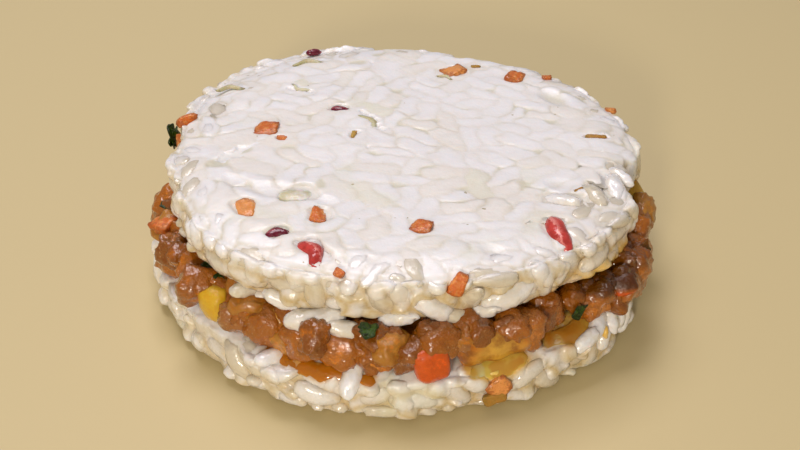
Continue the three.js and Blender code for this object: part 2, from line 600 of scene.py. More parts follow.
def rice_finish(name, settings, coat, through, whole):
    """Pressed grains: whitest at the core, clearer at the edge, stained by sauce, with painted shade in the
    crevices, cream to brown, and most of it on the sides.
    """
    f, base = grain_finish(name, settings, coat, through, whole)
    seam, pit, stain, face, rim = (f.attribute(key) for key in ("seam", "pit", "stain", "face", "rim"))
    side = f.math("SUBTRACT", 1.0, face)
    # Clearer grain edges: partly the grains' own translucence, partly painted shade, as they are laid on far
    # more strongly on the sides, which are painted warmer and darker than the faces.
    edge = f.range(f.plus(rim, f.patches(330, (0.3, 0.7), (-0.25, 0.25))), 0.35, 1.0, 0.25, 1.0)
    edge = f.times(edge, f.plus(f.times(side, 0.5 if whole else 0.8), 0.12))
    base = f.blend(edge, base, settings.edge)
    # Seams: partly the joints between grains, partly painted shade in the creases, strongest on the sides.
    patchy = f.patches(150, (0.42, 0.68), (0.45, 0.9))
    strength = f.math("MAXIMUM", patchy, f.times(side, 0.6 if whole else 0.95))
    base = f.blend(f.times(seam, strength), base, f.blend(face, settings.seam, settings.contour))
    # Painted shade in crevices and hollows, a little stronger on the sides.
    deep = f.blend(face, settings.crevice_shade, settings.hollow)
    base = f.blend(f.times(pit, f.plus(f.times(side, 0.35), 0.6)), base, deep)
    soaked = f.times(stain, f.patches(260, (0.25, 0.6), (0.45, 1.25)))
    sauce = f.blend(f.attribute("amber"), settings.stain, settings.amber)
    base = f.blend(f.range(soaked, 0.05, 0.9), base, sauce)
    base = f.blend(f.patches(620, (0.765, 0.79), (0, 0.8), 2, 0.4), base, settings.fleck)
    base = f.blend(f.patches(70, (0.58, 0.72), (0, 0.22), 2, 0.5), base, settings.olive)
    return wet_grain_surface(f, base, face)


def loose_grain_finish(name, rice, filling):
    """A whole grain, clearer towards its edge."""
    f, base = grain_finish(name, rice)
    own = f.own_place()
    rounded = f.node("Mapping", {"Vector": own, "Scale": (0.6, 2.4, 2.6)}).outputs[0]
    edge = f.range(f.reach(own, 4.0, 0.15, rounded), 0.3, 0.6, 0, 0.45)
    return wet_grain_surface(f, f.blend(edge, base, rice.edge))


def clear_grain_finish(name, rice, filling):
    """A greyish green, translucent grain."""
    f = soft_finish(name, 0.5, 0.2, 0.3)
    patch = f.noise(3.0, vector=f.own_place())
    base = f.blend(f.range(patch, 0.35, 0.7), CLEAR_GREEN, rice.clear)
    return f.set(Base_Color=base, Normal=f.bump(patch, 0.2, 0.2 * MM))


def bran_coat(skin, highlight_tint):
    """Makes the finish of coloured rice grains in patches of their bran's colour, with a painted highlight:
    a paler line along the middle of each grain.
    """

    def finish(name, rice, filling):
        f = soft_finish(name, 0.25, 0.5, 0.25)
        own, tint = f.own_place(), getattr(rice, skin)
        sideways = f.node("SeparateXYZ", {0: own}).outputs["Y"]
        uneven = f.noise(7.0, vector=own)
        off_middle = f.math("ABSOLUTE", f.plus(sideways, f.range(uneven, 0.3, 0.7, -0.04, 0.06)))
        highlight_line = f.times(f.range(off_middle, 0.015, 0.06, 1, 0), f.range(uneven, 0.35, 0.6))
        base = f.blend(f.patches(5.0, (0.35, 0.65), (0, 0.6), vector=own), tint, darker(tint, 0.45))
        base = f.blend(f.times(highlight_line, 0.8), base, highlight_tint)
        return f.set(Base_Color=base, Normal=f.bump(uneven, 0.4, 0.25 * MM))

    return finish


def shaded(f, base, sauce):
    """Painted shade: darkened towards the sauce's colour in shadow where it lies deep in the filling and
    under the upper patty's rim.
    """
    deep = f.attribute("deep")
    base = f.blend(f.range(deep, 0.1, 0.5, 0, 0.85), base, darker(sauce, 0.5))
    return f.blend(f.range(deep, 0.5, 1.0, 0, 0.9), base, darker(sauce, 0.08))


def flesh(main, other, coat):
    """Makes the finish of a cooked vegetable, in patches of two colours and deeper at the edges."""

    def finish(name, rice, filling):
        f = soft_finish(name, 0.3, coat, 0.32)
        own, tint, second = f.own_place(), tint_of(filling, main), tint_of(filling, other)
        base = f.blend(f.range(f.attribute("tone"), 0.3, 1.0, 0, 0.9), tint, second)
        base = f.blend(f.patches(4.5, (0.42, 0.68), (0, 0.75), 4, 0.65, own), base, second)
        base = f.blend(f.patches(11.0, (0.6, 0.75), (0, 0.5), vector=own), base, darker(tint, 0.35))
        base = f.blend(f.range(f.reach(own, 7.0, 0.1), 0.36, 0.54, 0, 0.7), base, darker(tint, 0.5))
        bumps = f.bump(f.noise(8.0, 4, 0.65, own), 0.5, 0.35 * MM)
        # Painted shade where the bit lies deep in the filling.
        return f.set(Base_Color=shaded(f, base, SAUCE_SHADOW), Normal=bumps)

    return finish


def lean_colour(f, filling, fibre, tone):
    """Browned meat, paler or darker from piece to piece."""
    lean = f.blend(f.range(tone, 0.35, 0.7), filling.dark_meat, filling.meat)
    lean = f.blend(f.range(tone, 0.8, 0.97), lean, filling.pale_meat)
    return f.blend(f.range(fibre, 0.45, 0.75, 0.0, 0.6), lean, darker(filling.meat, 0.4))


def meat_finish(name, rice, filling):
    """Cooked, finely diced meat under a film of sauce."""
    f = soft_finish(name, 0.15, 1.0, 0.3)
    own = f.own_place()
    stretched = f.node("Mapping", {"Vector": own, "Scale": (3.0, 7.0, 7.0)}).outputs[0]
    fibre = f.noise(1.0, 5, 0.65, stretched)
    film = f.plus(f.attribute("sauced"), f.patches(300, (0.35, 0.7), (-0.45, 0.5)))
    lean = lean_colour(f, filling, fibre, f.attribute("tone"))
    base = f.blend(f.range(film, 0.2, 0.9, 0, 0.9), lean, filling.sauce)
    base = f.blend(f.range(f.reach(own, 5.0, 0.12), 0.36, 0.54, 0, 0.65), base, darker(filling.sauce, 0.4))
    base = f.blend(f.patches(1500, (0.62, 0.72), (0, 0.4), 2), base, FAT)
    sparkle = f.bump(f.noise(1000, 2), 0.6, 0.4 * MM, f.bump(f.noise(350, 4), 0.6, 0.8 * MM))
    rough = f.range(fibre, 0.3, 0.7, 0.14, 0.34)
    return f.set(Base_Color=shaded(f, base, filling.sauce), Normal=sparkle, Roughness=rough)


def sauce_finish(name, filling):
    """Thick glossy sauce, browner where it lies over meat, and darkened by painted shade where it lies deep
    in the filling.
    """
    f = soft_finish(name, 0.35, 0.9, 0.2)
    patch = f.noise(240, 4)
    base = f.blend(f.range(patch, 0.42, 0.66), filling.sauce, darker(filling.sauce, 0.28))
    base = f.blend(f.patches(150, (0.5, 0.62), (0, 0.3), 3, 0.5), base, filling.gravy)
    clear = f.blend(f.range(patch, 0.38, 0.62), CLEAR_SAUCE, CLEAR_SAUCE_SHADOW)
    base = f.blend(f.attribute("thin"), base, clear)
    base = f.blend(f.times(f.attribute("meaty"), 0.35), base, lean_colour(f, filling, patch, 0.4))
    fine = f.bump(f.noise(900, 3, 0.65), 0.3, 0.25 * MM)
    bumps = f.bump(f.noise(350, 3, 0.5), 0.5, 0.7 * MM, fine)
    return f.set(Base_Color=shaded(f, base, filling.sauce), Normal=bumps)


def gravy_finish(name, filling):
    """Thin, clear sauce, yellow where it is thinnest."""
    f = soft_finish(name, 0.5, 0.9, 0.12, 3 * MM)
    thick = f.plus(f.attribute("film"), f.patches(170, (0.35, 0.65), (-0.3, 0.3), 3, 0.5))
    amber = f.attribute("amber")
    thin, deep = f.blend(amber, THIN_BROWN, THIN_YELLOW), f.blend(amber, filling.sauce, DEEP_YELLOW)
    base = f.blend(f.range(thick, 0.1, 0.7), thin, deep)
    base = f.blend(f.range(thick, 0.9, 1.2, 0, 0.6), base, filling.sauce)
    return f.set(Base_Color=base, Normal=f.bump(f.noise(300, 2, 0.5), 0.25, 0.4 * MM))


# ---------------------------------------------------------------- shapes that are copied

GRAIN_SEEDS, LEAF_SEEDS = 40, 90


def started(name, scale, add, **settings):
    """A primitive brought to its size, as the start of a shape."""
    bpy.ops.object.select_all(action="DESELECT")
    add(**settings)
    obj = bpy.context.object
    obj.name = name
    bpy.ops.object.transform_apply(location=False, rotation=True, scale=False)
    obj.scale = scale
    bpy.ops.object.transform_apply(location=False, rotation=False, scale=True)
    return obj


def softly(reach):
    """Settings with which a move drags along what lies within a reach."""
    return {"use_proportional_edit": True, "proportional_edit_falloff": "SMOOTH", "proportional_size": reach}


def jitter(offset, seed):
    """A step that moves each selected vertex a little."""
    return lambda: bpy.ops.transform.vertex_random(offset=offset, seed=seed)


def shape_grain(number, size, bent=0.0):
    """One cooked grain along X: an egg with a blunt end, a slight bend and the notch where its germ was."""
    rng = np.random.default_rng(GRAIN_SEEDS + number)
    ball = {"segments": 14, "ring_count": 11, "radius": 0.5, "rotation": (0, math.pi / 2, 0)}
    obj = started(f"grain_{number}", size, bpy.ops.mesh.primitive_uv_sphere_add, **ball)
    long, wide, high = Vector(size)
    soft = softly(0.45 * long)
    for end, squeeze in ((1, rng.uniform(0.88, 1.1)), (-1, rng.uniform(1.05, 1.25))):
        choose(obj, lambda p: end * p.x > 0.36 * long)
        bend = rng.uniform(-0.16, 0.16) * wide + bent * long
        dip = rng.uniform(-0.22, 0.02) * high
        edit(
            obj,
            lambda: bpy.ops.transform.resize(value=(1, squeeze, squeeze), **soft),
            lambda: bpy.ops.transform.translate(value=(0, bend, dip), **soft),
        )
    choose(obj, lambda p: p.x > 0.33 * long and p.z > 0.12 * high)
    edit(obj, lambda: bpy.ops.transform.translate(value=(-0.05 * long, 0, -0.14 * high)))
    edit(obj, select_all, jitter(0.05 * high, number))
    return obj


def dent(obj, number, width, depth, directions=(("NORMAL", 1.0),)):
    """Dents a shape unevenly, each number in its own way."""
    clouds = bpy.data.textures.new("dents", "CLOUDS")
    clouds.noise_scale = width
    aside = np.array([number * 12 * width, 0, 0])
    set_places(obj.data, places(obj.data) + aside)
    for direction, share in directions:
        modify(obj, "DISPLACE", texture=clouds, direction=direction, strength=share * depth, mid_level=0.5)
    bpy.data.textures.remove(clouds)
    set_places(obj.data, places(obj.data) - aside)


def shape_lump(number, size, roundness, wobble, dents, taper=1.0, worn=0):
    """A cube with rounded corners and uneven, dented faces, every other one narrower at one end."""
    obj = started(f"lump_{number}", size, bpy.ops.mesh.primitive_cube_add, size=1)
    least = min(size)
    if number % 2:
        choose(obj, lambda p: p.x > 0)
        edit(obj, lambda: bpy.ops.transform.resize(value=(1, taper, 1)))
    edit(
        obj,
        select_all,
        jitter(wobble * least, number),
        lambda: bpy.ops.mesh.subdivide(number_cuts=3, smoothness=roundness, fractal=0),
        jitter(0.2 * wobble * least, number + 7),
        lambda: bpy.ops.mesh.vertices_smooth(factor=0.35, repeat=1),
    )
    modify(obj, "SUBSURF", levels=1, render_levels=1)
    dent(obj, number, 0.4 * least, dents * least)
    if worn:
        modify(obj, "SMOOTH", factor=0.5, iterations=worn)
    return obj


def shape_leaf(number, size):
    """One chopped bit of leaf: a torn, curled scrap with a little thickness."""
    rng = np.random.default_rng(LEAF_SEEDS + number)
    long, wide, thick = size
    grid = {"x_subdivisions": 6, "y_subdivisions": 5, "size": 1}
    obj = started(f"leaf_{number}", (long, wide, 1), bpy.ops.mesh.primitive_grid_add, **grid)
    for end in (-1, 1):
        choose(obj, lambda p: end * p.x > 0.4 * long)
        lift = rng.uniform(-0.3, 0.1) * wide
        edit(obj, lambda: bpy.ops.transform.translate(value=(0, 0, lift), **softly(0.5 * long)))
    edit(obj, select_all, jitter(0.12 * wide, number))
    dent(obj, number, 0.5 * wide, wide, (("X", 0.5), ("Y", 0.7), ("NORMAL", 1.0)))
    modify(obj, "SOLIDIFY", thickness=thick, offset=0)
    modify(obj, "SUBSURF", levels=1, render_levels=1)
    return obj


def uneven_grain(number, size):
    """A grain with a dimpled skin."""
    obj = shape_grain(number, size)
    modify(obj, "SUBSURF", levels=1, render_levels=1)
    dent(obj, number, 0.35 * size[1], 0.16 * size[1])
    return obj


def bent_grain(number, size):
    """A grain, every other one curled."""
    return shape_grain(number, size, -0.15 * (number % 2))


curled_strip = partial(shape_grain, bent=-0.22)
kernel = partial(shape_lump, roundness=0.6, wobble=0.3, dents=0.2, worn=3)
die = partial(shape_lump, roundness=0.05, wobble=0.5, dents=0.3, taper=0.7)
cut_lump = partial(shape_lump, roundness=0.3, wobble=0.4, dents=0.15)
chunk = partial(shape_lump, roundness=0.35, wobble=0.3, dents=0.45)


# ---------------------------------------------------------------- bits


class Kind(NamedTuple):
    """A kind of bit: its width and thickness as shares of its length, how far it stands out in millimetres,
    its slot, what shapes it and what finishes it, unless it melts into the sauce."""

    width: float
    thickness: float
    proud: float
    slot: str
    shape: Callable
    finish: Callable


CARROT = flesh((0.60, 0.135, 0.016), (0.78, 0.35, 0.10), 0.5)
BRIGHT_CARROT = flesh(("carrot", 1), ("carrot", 0.6), 0.7)
SWEETCORN = flesh(("corn", 1), (0.90, 0.38, 0.01), 0.8)
ONION = flesh(("onion", 1), ("sauce", 1), 0.8)
LEAF = flesh(("leaf", 0.3), ("leaf", 1), 0.25)
BRAN = flesh((0.52, 0.33, 0.07), (0.36, 0.17, 0.03), 0.0)
STRIP = flesh((0.44, 0.40, 0.22), (0.64, 0.60, 0.44), 0.0)
# Each second colour is that of the painted highlight along the grains.
RED_COAT = bran_coat("red", (0.80, 0.30, 0.26))
PURPLE_COAT = bran_coat("purple", (0.45, 0.12, 0.14))
KINDS = {
    "red_grains": Kind(0.40, 0.34, 0.75, RICE_SLOT, bent_grain, RED_COAT),
    "dark_grains": Kind(0.50, 0.42, 0.40, RICE_SLOT, bent_grain, PURPLE_COAT),
    "clear_grains": Kind(0.62, 0.34, 0.30, RICE_SLOT, shape_grain, clear_grain_finish),
    "bran_strips": Kind(0.17, 0.14, 0.34, RICE_SLOT, curled_strip, STRIP),
    "loose_grains": Kind(0.44, 0.36, 0.7, RICE_SLOT, uneven_grain, loose_grain_finish),
    "hanging_grains": Kind(0.50, 0.42, 3.9, RICE_SLOT, uneven_grain, loose_grain_finish),
    "carrot_bits": Kind(0.72, 0.45, 0.18, VEGETABLE_SLOT, die, CARROT),
    "bran_bits": Kind(0.38, 0.30, 0.12, RICE_SLOT, die, BRAN),
    "meat_dice": Kind(0.86, 0.80, 0.05, FILLING_SLOT, chunk, meat_finish),
    "carrot_dice": Kind(0.78, 0.74, 1.10, VEGETABLE_SLOT, cut_lump, BRIGHT_CARROT),
    "corn_kernels": Kind(0.88, 0.75, 0.25, VEGETABLE_SLOT, kernel, SWEETCORN),
    "onion_bits": Kind(0.85, 0.60, 0.05, FILLING_SLOT, chunk, ONION),
    "amber_bits": Kind(0.90, 0.60, 0.10, FILLING_SLOT, kernel, None),
    "greens": Kind(0.75, 0.10, 0.40, VEGETABLE_SLOT, shape_leaf, LEAF),
    "leafy_bits": Kind(0.80, 0.12, 1.70, VEGETABLE_SLOT, shape_leaf, LEAF),
}


class Bit(NamedTuple):
    """A listed bit: its kind, its direction in degrees, its distance from the burger's axis, its
    height above the floor and its length in millimetres, how far it is turned in degrees, and its tone,
    which is drawn by chance unless it is given."""

    kind: str
    direction: float
    distance: float
    height: float
    size: float
    turn: float
    tone: float = -1.0


def placed(*runs):
    """Bits given one by one, from runs that each name a kind and then place some of it."""
    return [Bit(kind, *row) for kind, *rows in runs for row in rows]


TOP = 27
UPPER_BITS = placed(
    ("red_grains", (-46, 40.0, TOP, 9.8, -80), (-113, 37.4, TOP, 8.2, -57)),
    ("dark_grains", (127, 20.3, TOP, 4.4, -8), (-127, 36.0, TOP, 5.2, 18), (114, 48.0, TOP, 3.6, 10)),
    ("clear_grains", (-138, 25.2, TOP, 8.2, 4)),
    (
        "bran_strips", (116, 12.5, TOP, 9.6, -60), (144, 45.0, TOP, 6.4, 10), (118, 44.0, TOP, 7.2, 12),
        (131, 33.0, TOP, 5.6, 150), (72, 32.6, TOP, 4.0, -30),
    ),
    (
        "carrot_bits", (163, 28.1, TOP, 5.6, 80), (169.5, 23.8, TOP, 2.2, 0),
        (-143, 35.2, TOP, 6.4, 100, 0.75), (-122, 27.6, TOP, 5.0, 88, 0.3), (71, 36.0, TOP, 5.4, 30),
        (51, 39.7, TOP, 5.0, 70), (-82, 27.6, TOP, 4.4, 70, 0.0), (-77, 43.6, 25.3, 4.3, 60, 0.1),
        (163, 46.6, TOP, 4.0, 40), (168, 48.0, 22.5, 4.0, 70), (44, 44.3, TOP, 2.0, 0),
        (22, 48.6, TOP, 2.2, 0), (-104, 41.8, 26, 1.9, -30, 0.0),
    ),
    (
        "bran_bits", (65, 39.7, TOP, 2.2, 0), (7, 39.4, TOP, 4.2, -4), (149, 11.0, TOP, 3.0, 80),
        (-25, 36.4, TOP, 2.2, 30),
    ),
    (
        "leafy_bits", (164, 50.0, 21.8, 4.6, 20), (165, 50.0, 22.8, 4.0, 85),
        (163.5, 50.0, 21.0, 3.8, 140),
    ),
    ("hanging_grains", (-109.5, 43.6, 16.4, 11.0, 4), (-101.5, 44.0, 16.2, 8.2, -6)),
    (
        "loose_grains", (-64, 43.5, 20.5, 11.6, 14), (-82, 43.6, 20.2, 9.2, -28),
        (-71, 43.6, 17.6, 7.2, 18), (-78, 43.6, 17.3, 8.0, -8), (-90.5, 43.6, 17.6, 7.6, 14),
        (-118, 43.2, 18.4, 8.2, -24), (-128, 42.6, 19.4, 8.0, -30), (-31.5, 35.4, TOP, 8.2, -14),
        (-24.5, 39.4, TOP, 8.0, 100), (-17.5, 42.0, TOP, 8.8, 96), (-11.5, 43.6, TOP, 7.6, 112),
    ),
    ("carrot_bits", (95, 47.5, 21.0, 4.0, 20), (10, 47.0, 21.5, 3.6, 60)),
    ("red_grains", (60, 46.5, 20.0, 7.2, 10)),
)
LOWER_BITS = placed(
    ("carrot_bits", (-69, 48.4, 5.6, 4.4, 40)),
    ("bran_bits", (-70, 49.0, 3.2, 4.6, 10)),
    (
        "loose_grains", (-118, 47.0, 9.2, 7.6, 30, 0.1), (-100, 47.5, 8.8, 8.4, 82, 0.1),
        (-31, 49.0, 6.0, 8.6, 70), (-42, 48.4, 9.8, 7.6, 80, 0.1), (-38, 49.0, 9.6, 7.8, 68, 0.2),
        (-34, 49.2, 8.6, 7.6, 80, 0.1), (-40.5, 49.0, 6.6, 7.0, 60, 0.2),
        (-47, 48.4, 8.0, 7.0, 20, 0.1),
    ),
    ("carrot_bits", (150, 48.5, 4.6, 3.6, 20), (100, 48.0, 6.0, 3.2, 70)),
    ("red_grains", (35, 48.0, 5.0, 7.0, 30), (165, 48.0, 3.6, 7.0, 20)),
)
FILLING_BITS = placed(
    ("meat_dice", (-171, 45.0, 12.4, 6.2, 60, 0.75)),
    ("carrot_bits", (-168, 46.4, 15.0, 5.4, 50, 0.35)),
    ("greens", (-175, 46.0, 15.4, 3.1, 70)),
    ("meat_dice", (-159, 46.4, 13.0, 7.6, 70, 0.8), (-151, 44.0, 13.3, 6.7, 70, 0.7)),
    ("greens", (-144.5, 43.5, 15.4, 2.9, 20), (-139, 43.0, 15.8, 2.6, -10)),
    ("corn_kernels", (-136.5, 45.0, 13.2, 5.1, 10)),
    ("meat_dice", (-132.5, 46.0, 10.6, 4.6, 0), (-129.5, 45.0, 12.0, 6.0, 10)),
    ("onion_bits", (-127, 43.5, 14.6, 6.4, -15)),
    ("meat_dice", (-121, 45.0, 13.0, 6.3, 50, 0.6)),
    ("onion_bits", (-117, 46.5, 10.8, 5.4, 30)),
    ("meat_dice", (-112, 45.6, 13.0, 6.2, 20, 0.75), (-103.5, 47.0, 12.3, 6.9, -10, 0.7)),
    ("leafy_bits", (-96.5, 45.5, 14.9, 3.1, 60), (-97.2, 45.5, 15.3, 2.5, 120)),
    ("onion_bits", (-92.5, 45.5, 14.8, 5.8, 50)),
    ("meat_dice", (-95, 46.5, 12.0, 5.6, 0), (-88.5, 46.5, 12.6, 5.6, 30), (-81.5, 46.0, 14.6, 6.2, 0)),
    ("carrot_dice", (-83, 48.0, 12.4, 6.2, 8, 0.0)),
    ("onion_bits", (-75.5, 45.0, 15.4, 4.8, 20, 1.0)),
    ("meat_dice", (-72.5, 45.5, 15.2, 4.6, 60, 0.1)),
    (
        "amber_bits", (-73.5, 47.0, 10.9, 4.6, 0), (-68.5, 47.0, 11.7, 5.8, 80),
        (-64.2, 47.0, 11.2, 5.0, 30),
    ),
    (
        "meat_dice", (-66, 45.5, 15.4, 4.2, 20, 0.1), (-61, 46.8, 13.6, 6.5, 80, 0.85),
        (-54, 46.5, 14.0, 5.6, 10),
    ),
    # The nearly black greens (tone 0) here and below fill the dark gaps under the upper patty's rim.
    ("greens", (-47.6, 46.8, 13.9, 3.0, 60, 0.0)),
    ("meat_dice", (-42, 47.5, 13.4, 6.2, 30, 0.6)),
    ("greens", (-39, 47.2, 15.6, 3.4, 10, 0.0), (-22, 48.4, 15.2, 2.6, 60, 0.0)),
    ("carrot_dice", (-35.3, 48.5, 14.2, 4.6, 20, 1.0)),
    (
        "meat_dice", (-27, 51.0, 13.0, 7.6, 60, 0.75), (-19, 50.0, 13.0, 6.0, 0),
        (-11.6, 50.5, 14.0, 5.6, 40, 0.6),
    ),
    ("onion_bits", (-4, 49.5, 13.5, 6.4, 10)),
    ("corn_kernels", (4, 49.0, 15.2, 6.4, 30)),
)
# How often each kind comes up among the bits that aren't listed.
FILLING_SHARES = {
    "meat_dice": 0.77,
    "onion_bits": 0.15,
    "carrot_bits": 0.045,
    "corn_kernels": 0.01,
    "greens": 0.025,
}
MOST_VARIANTS = 6
TONE_SEED = 5
# Bits lie turned from the X axis where the way out rises more than this, and from the level elsewhere.
LIES_FLAT = 0.6


def bit_lumps(bits, layer):
    """The bits as lumps that keep their place in the layer's skin while others settle round them."""
    direction, distance, height, size, turn = np.array([bit[1:6] for bit in bits]).T
    width, thickness, proud = np.array([KINDS[bit.kind][:3] for bit in bits]).T
    size, angle, turn = size * MM, np.radians(direction), np.radians(turn)
    distance, height = distance * MM, height * MM
    place = np.stack([np.cos(angle) * distance, np.sin(angle) * distance, height], axis=1)
    depth, out = layer.depths(place)
    middle = place + out * (depth + proud * MM - size * thickness / 2)[:, None]
    flat = np.abs(out[:, 2:]) > LIES_FLAT
    level = np.where(flat, np.array([1.0, 0.0, 0.0]), unit(np.cross(UP, out)))
    along = level * np.cos(turn)[:, None] + np.cross(out, level) * np.sin(turn)[:, None]
    radius = size * width / 2
    lumps = Lumps(middle, along, np.maximum(size / 2 - radius, 0), radius)
    lumps.held[:] = True
    return lumps


def make_bits(prefix, bits, kind_names, lumps, sizes, rolls, layer, settings):
    """Makes the bits that a set of lumps stands for, one piece for each kind."""
    rng = np.random.default_rng(TONE_SEED)
    given = np.full(len(kind_names), -1.0)
    given[: len(bits)] = [bit.tone for bit in bits]
    tones = np.where(given < 0, rng.random(len(given)), given)
    matrices = lumps.matrices(layer, np.repeat(sizes[:, None] / MM, 3, axis=1), rolls)
    pieces = {}
    for name, kind in KINDS.items():
        wanted = [i for i, each in enumerate(kind_names) if each == name]
        if not wanted:
            continue
        size = (MM, kind.width * MM, kind.thickness * MM)
        variants = [kind.shape(number, size) for number in range(min(MOST_VARIANTS, len(wanted)))]
        numbers = np.arange(len(wanted)) % len(variants)
        piece = copies(f"{prefix}{name}", variants, matrices[wanted], numbers, tones[wanted])
        discard(variants)
        if kind.finish:
            finish_piece(piece, kind.finish(piece.name, *settings), kind.slot)
        pieces[name] = piece
    return pieces


# ---------------------------------------------------------------- patties

UPPER_SEED, LOWER_SEED = 11, 12
UPWARD, DOWNWARD = 1, -1
# Grains are only made where they show: where the way out rises more than SEEN_UP towards the outside of the
# burger, and past SEEN_FROM, a share of the radius.
SEEN_UP, SEEN_FROM = -0.5, 0.82
# A surface whose way out rises less than FACE_UP is a side, and RIM is the share of the radius past which a
# face is a rim.
FACE_UP = 0.7
RIM = 0.85
# How grains are packed: areas in grains seen from above, shares of their number, sizes in those of a grain,
# tilts in radians, and how far grains are sunk and looser ones lie beneath, in millimetres.
SKIN_AREA, UNDER_AREA = 0.86, 0.7
SIDE_SHARE = 0.80
END_ON_SHARE = 0.10
WIDTHS, LENGTHS = (0.40, 0.50), (0.72, 1.12)
TIGHT_SIDE, TIGHT_FACE = 0.98, 0.97
TILT, SPLAY = 0.33, 0.45
SUNK_SIDE, SUNK_FACE = 0.8, 0.45
UNDER_DEPTH = 3.0
SKIN_PLAY = 0.35 * MM
GRAIN_ROUNDS = 70
GRAIN_VARIANTS = 6
# How much grains are grown: those stuck on the faces, those stuck on the sides, and the whole ones there.
FACE_GROWN, SIDE_GROWN, WHOLE_GROWN = 1.06, 0.84, 1.04
CORE_DEPTH = 1.7 * MM
# How skins are smoothed once they are fused: a factor, and how often.
RICE_SMOOTHING, SAUCE_SMOOTHING, GRAVY_SMOOTHING = (0.5, 1), (0.6, 8), (0.7, 30)


def pack_rice(layer, rng, settings, shown, bits):
    """Grains side by side in a patty's skin, round the bits that lie in it, with looser ones beneath."""
    length_, width = settings.grain_length, settings.grain_width
    points, normals = layer.scatter(length_ * width * SKIN_AREA, rng, shown)
    kept = (np.abs(normals[:, 2]) > FACE_UP) | (rng.random(len(points)) < SIDE_SHARE)
    points, normals = points[kept], normals[kept]
    count = len(points)
    radius = width * rng.uniform(*WIDTHS, count)
    half = length_ * rng.uniform(*LENGTHS, count) / 2 - radius
    upright = np.abs(normals[:, 2]) < FACE_UP
    on_side = upright | (layer.from_middle(points) > RIM)
    end_on = upright & (rng.random(count) < END_ON_SHARE)
    along = across(normals, rng)
    level = unit(np.cross(normals, UP) + 1e-9)
    tilt = rng.normal(0, TILT, count)[:, None]
    along = np.where(upright[:, None], unit(level * np.cos(tilt) + UP * np.sin(tilt)), along)
    outward = unit(normals + rng.normal(0, SPLAY, normals.shape))
    along = np.where(end_on[:, None], outward, along)
    middles = points - normals * (radius + np.where(end_on, half, 0))[:, None]
    skin = Lumps(middles, along, half, radius * np.where(on_side, TIGHT_SIDE, TIGHT_FACE))
    sunk = rng.random(count) ** 1.5 * np.where(on_side, SUNK_SIDE, SUNK_FACE) * MM
    skin.shallow += (radius - settings.proud + sunk)[:, None]
    skin.deep[:] = skin.shallow + SKIN_PLAY
    skin.deep[end_on, :-1] = np.inf
    skin.add(bit_lumps(bits, layer))
    skin.settle(layer, GRAIN_ROUNDS)
    skin.radius[:count] = radius
    points, normals = layer.scatter(length_ * width * UNDER_AREA, rng, shown)
    half = half[: len(points)].mean()
    under = Lumps(points - normals * UNDER_DEPTH * MM, rng.normal(size=points.shape), half, width / 2)
    return skin, under, on_side


def shrunken(original, depth, *steps):
    """A copy of an object, shrunk by a depth after any other steps."""
    copy = original.copy()
    copy.data = original.data.copy()
    bpy.context.scene.collection.objects.link(copy)
    edit(copy, select_all, *steps, lambda: bpy.ops.transform.shrink_fatten(value=-depth))
    return copy


def inner_core(node, depth):
    """A copy of a CAD layer, made one surface and shrunk by a depth."""
    return shrunken(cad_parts[node], depth, lambda: bpy.ops.mesh.remove_doubles(threshold=0.01 * MM))


def fuse(objects, voxel, factor, rounds):
    """Joins solids into one smoothed skin."""
    fused = only(objects[0])
    for obj in objects[1:]:
        obj.select_set(True)
    bpy.ops.object.join()
    modify(fused, "REMESH", mode="VOXEL", voxel_size=voxel)
    modify(fused, "SMOOTH", factor=factor, iterations=rounds)
    unmark(fused.data, "tone", "own_place")
    return fused


def thin_out(obj, most):
    """Leaves an object no more than a number of triangles."""
    share = most / len(triangles(obj.data))
    if share < 1:
        modify(obj, "DECIMATE", ratio=share)


def grain_copies(name, variants, lumps, layer, rng, settings, grown):
    """Copies of the grain shapes in the place of each lump."""
    scales = np.ones((len(lumps.middles), 3))
    scales[:, 0] = (lumps.half + lumps.radius) * 2 / settings.grain_length * grown
    scales[:, 1] = lumps.radius * 2 / settings.grain_width * grown
    scales[:, 2] = scales[:, 1]
    kinds = rng.integers(len(variants), size=len(scales))
    return copies(name, variants, lumps.matrices(layer, scales), kinds, rng.random(len(scales)))


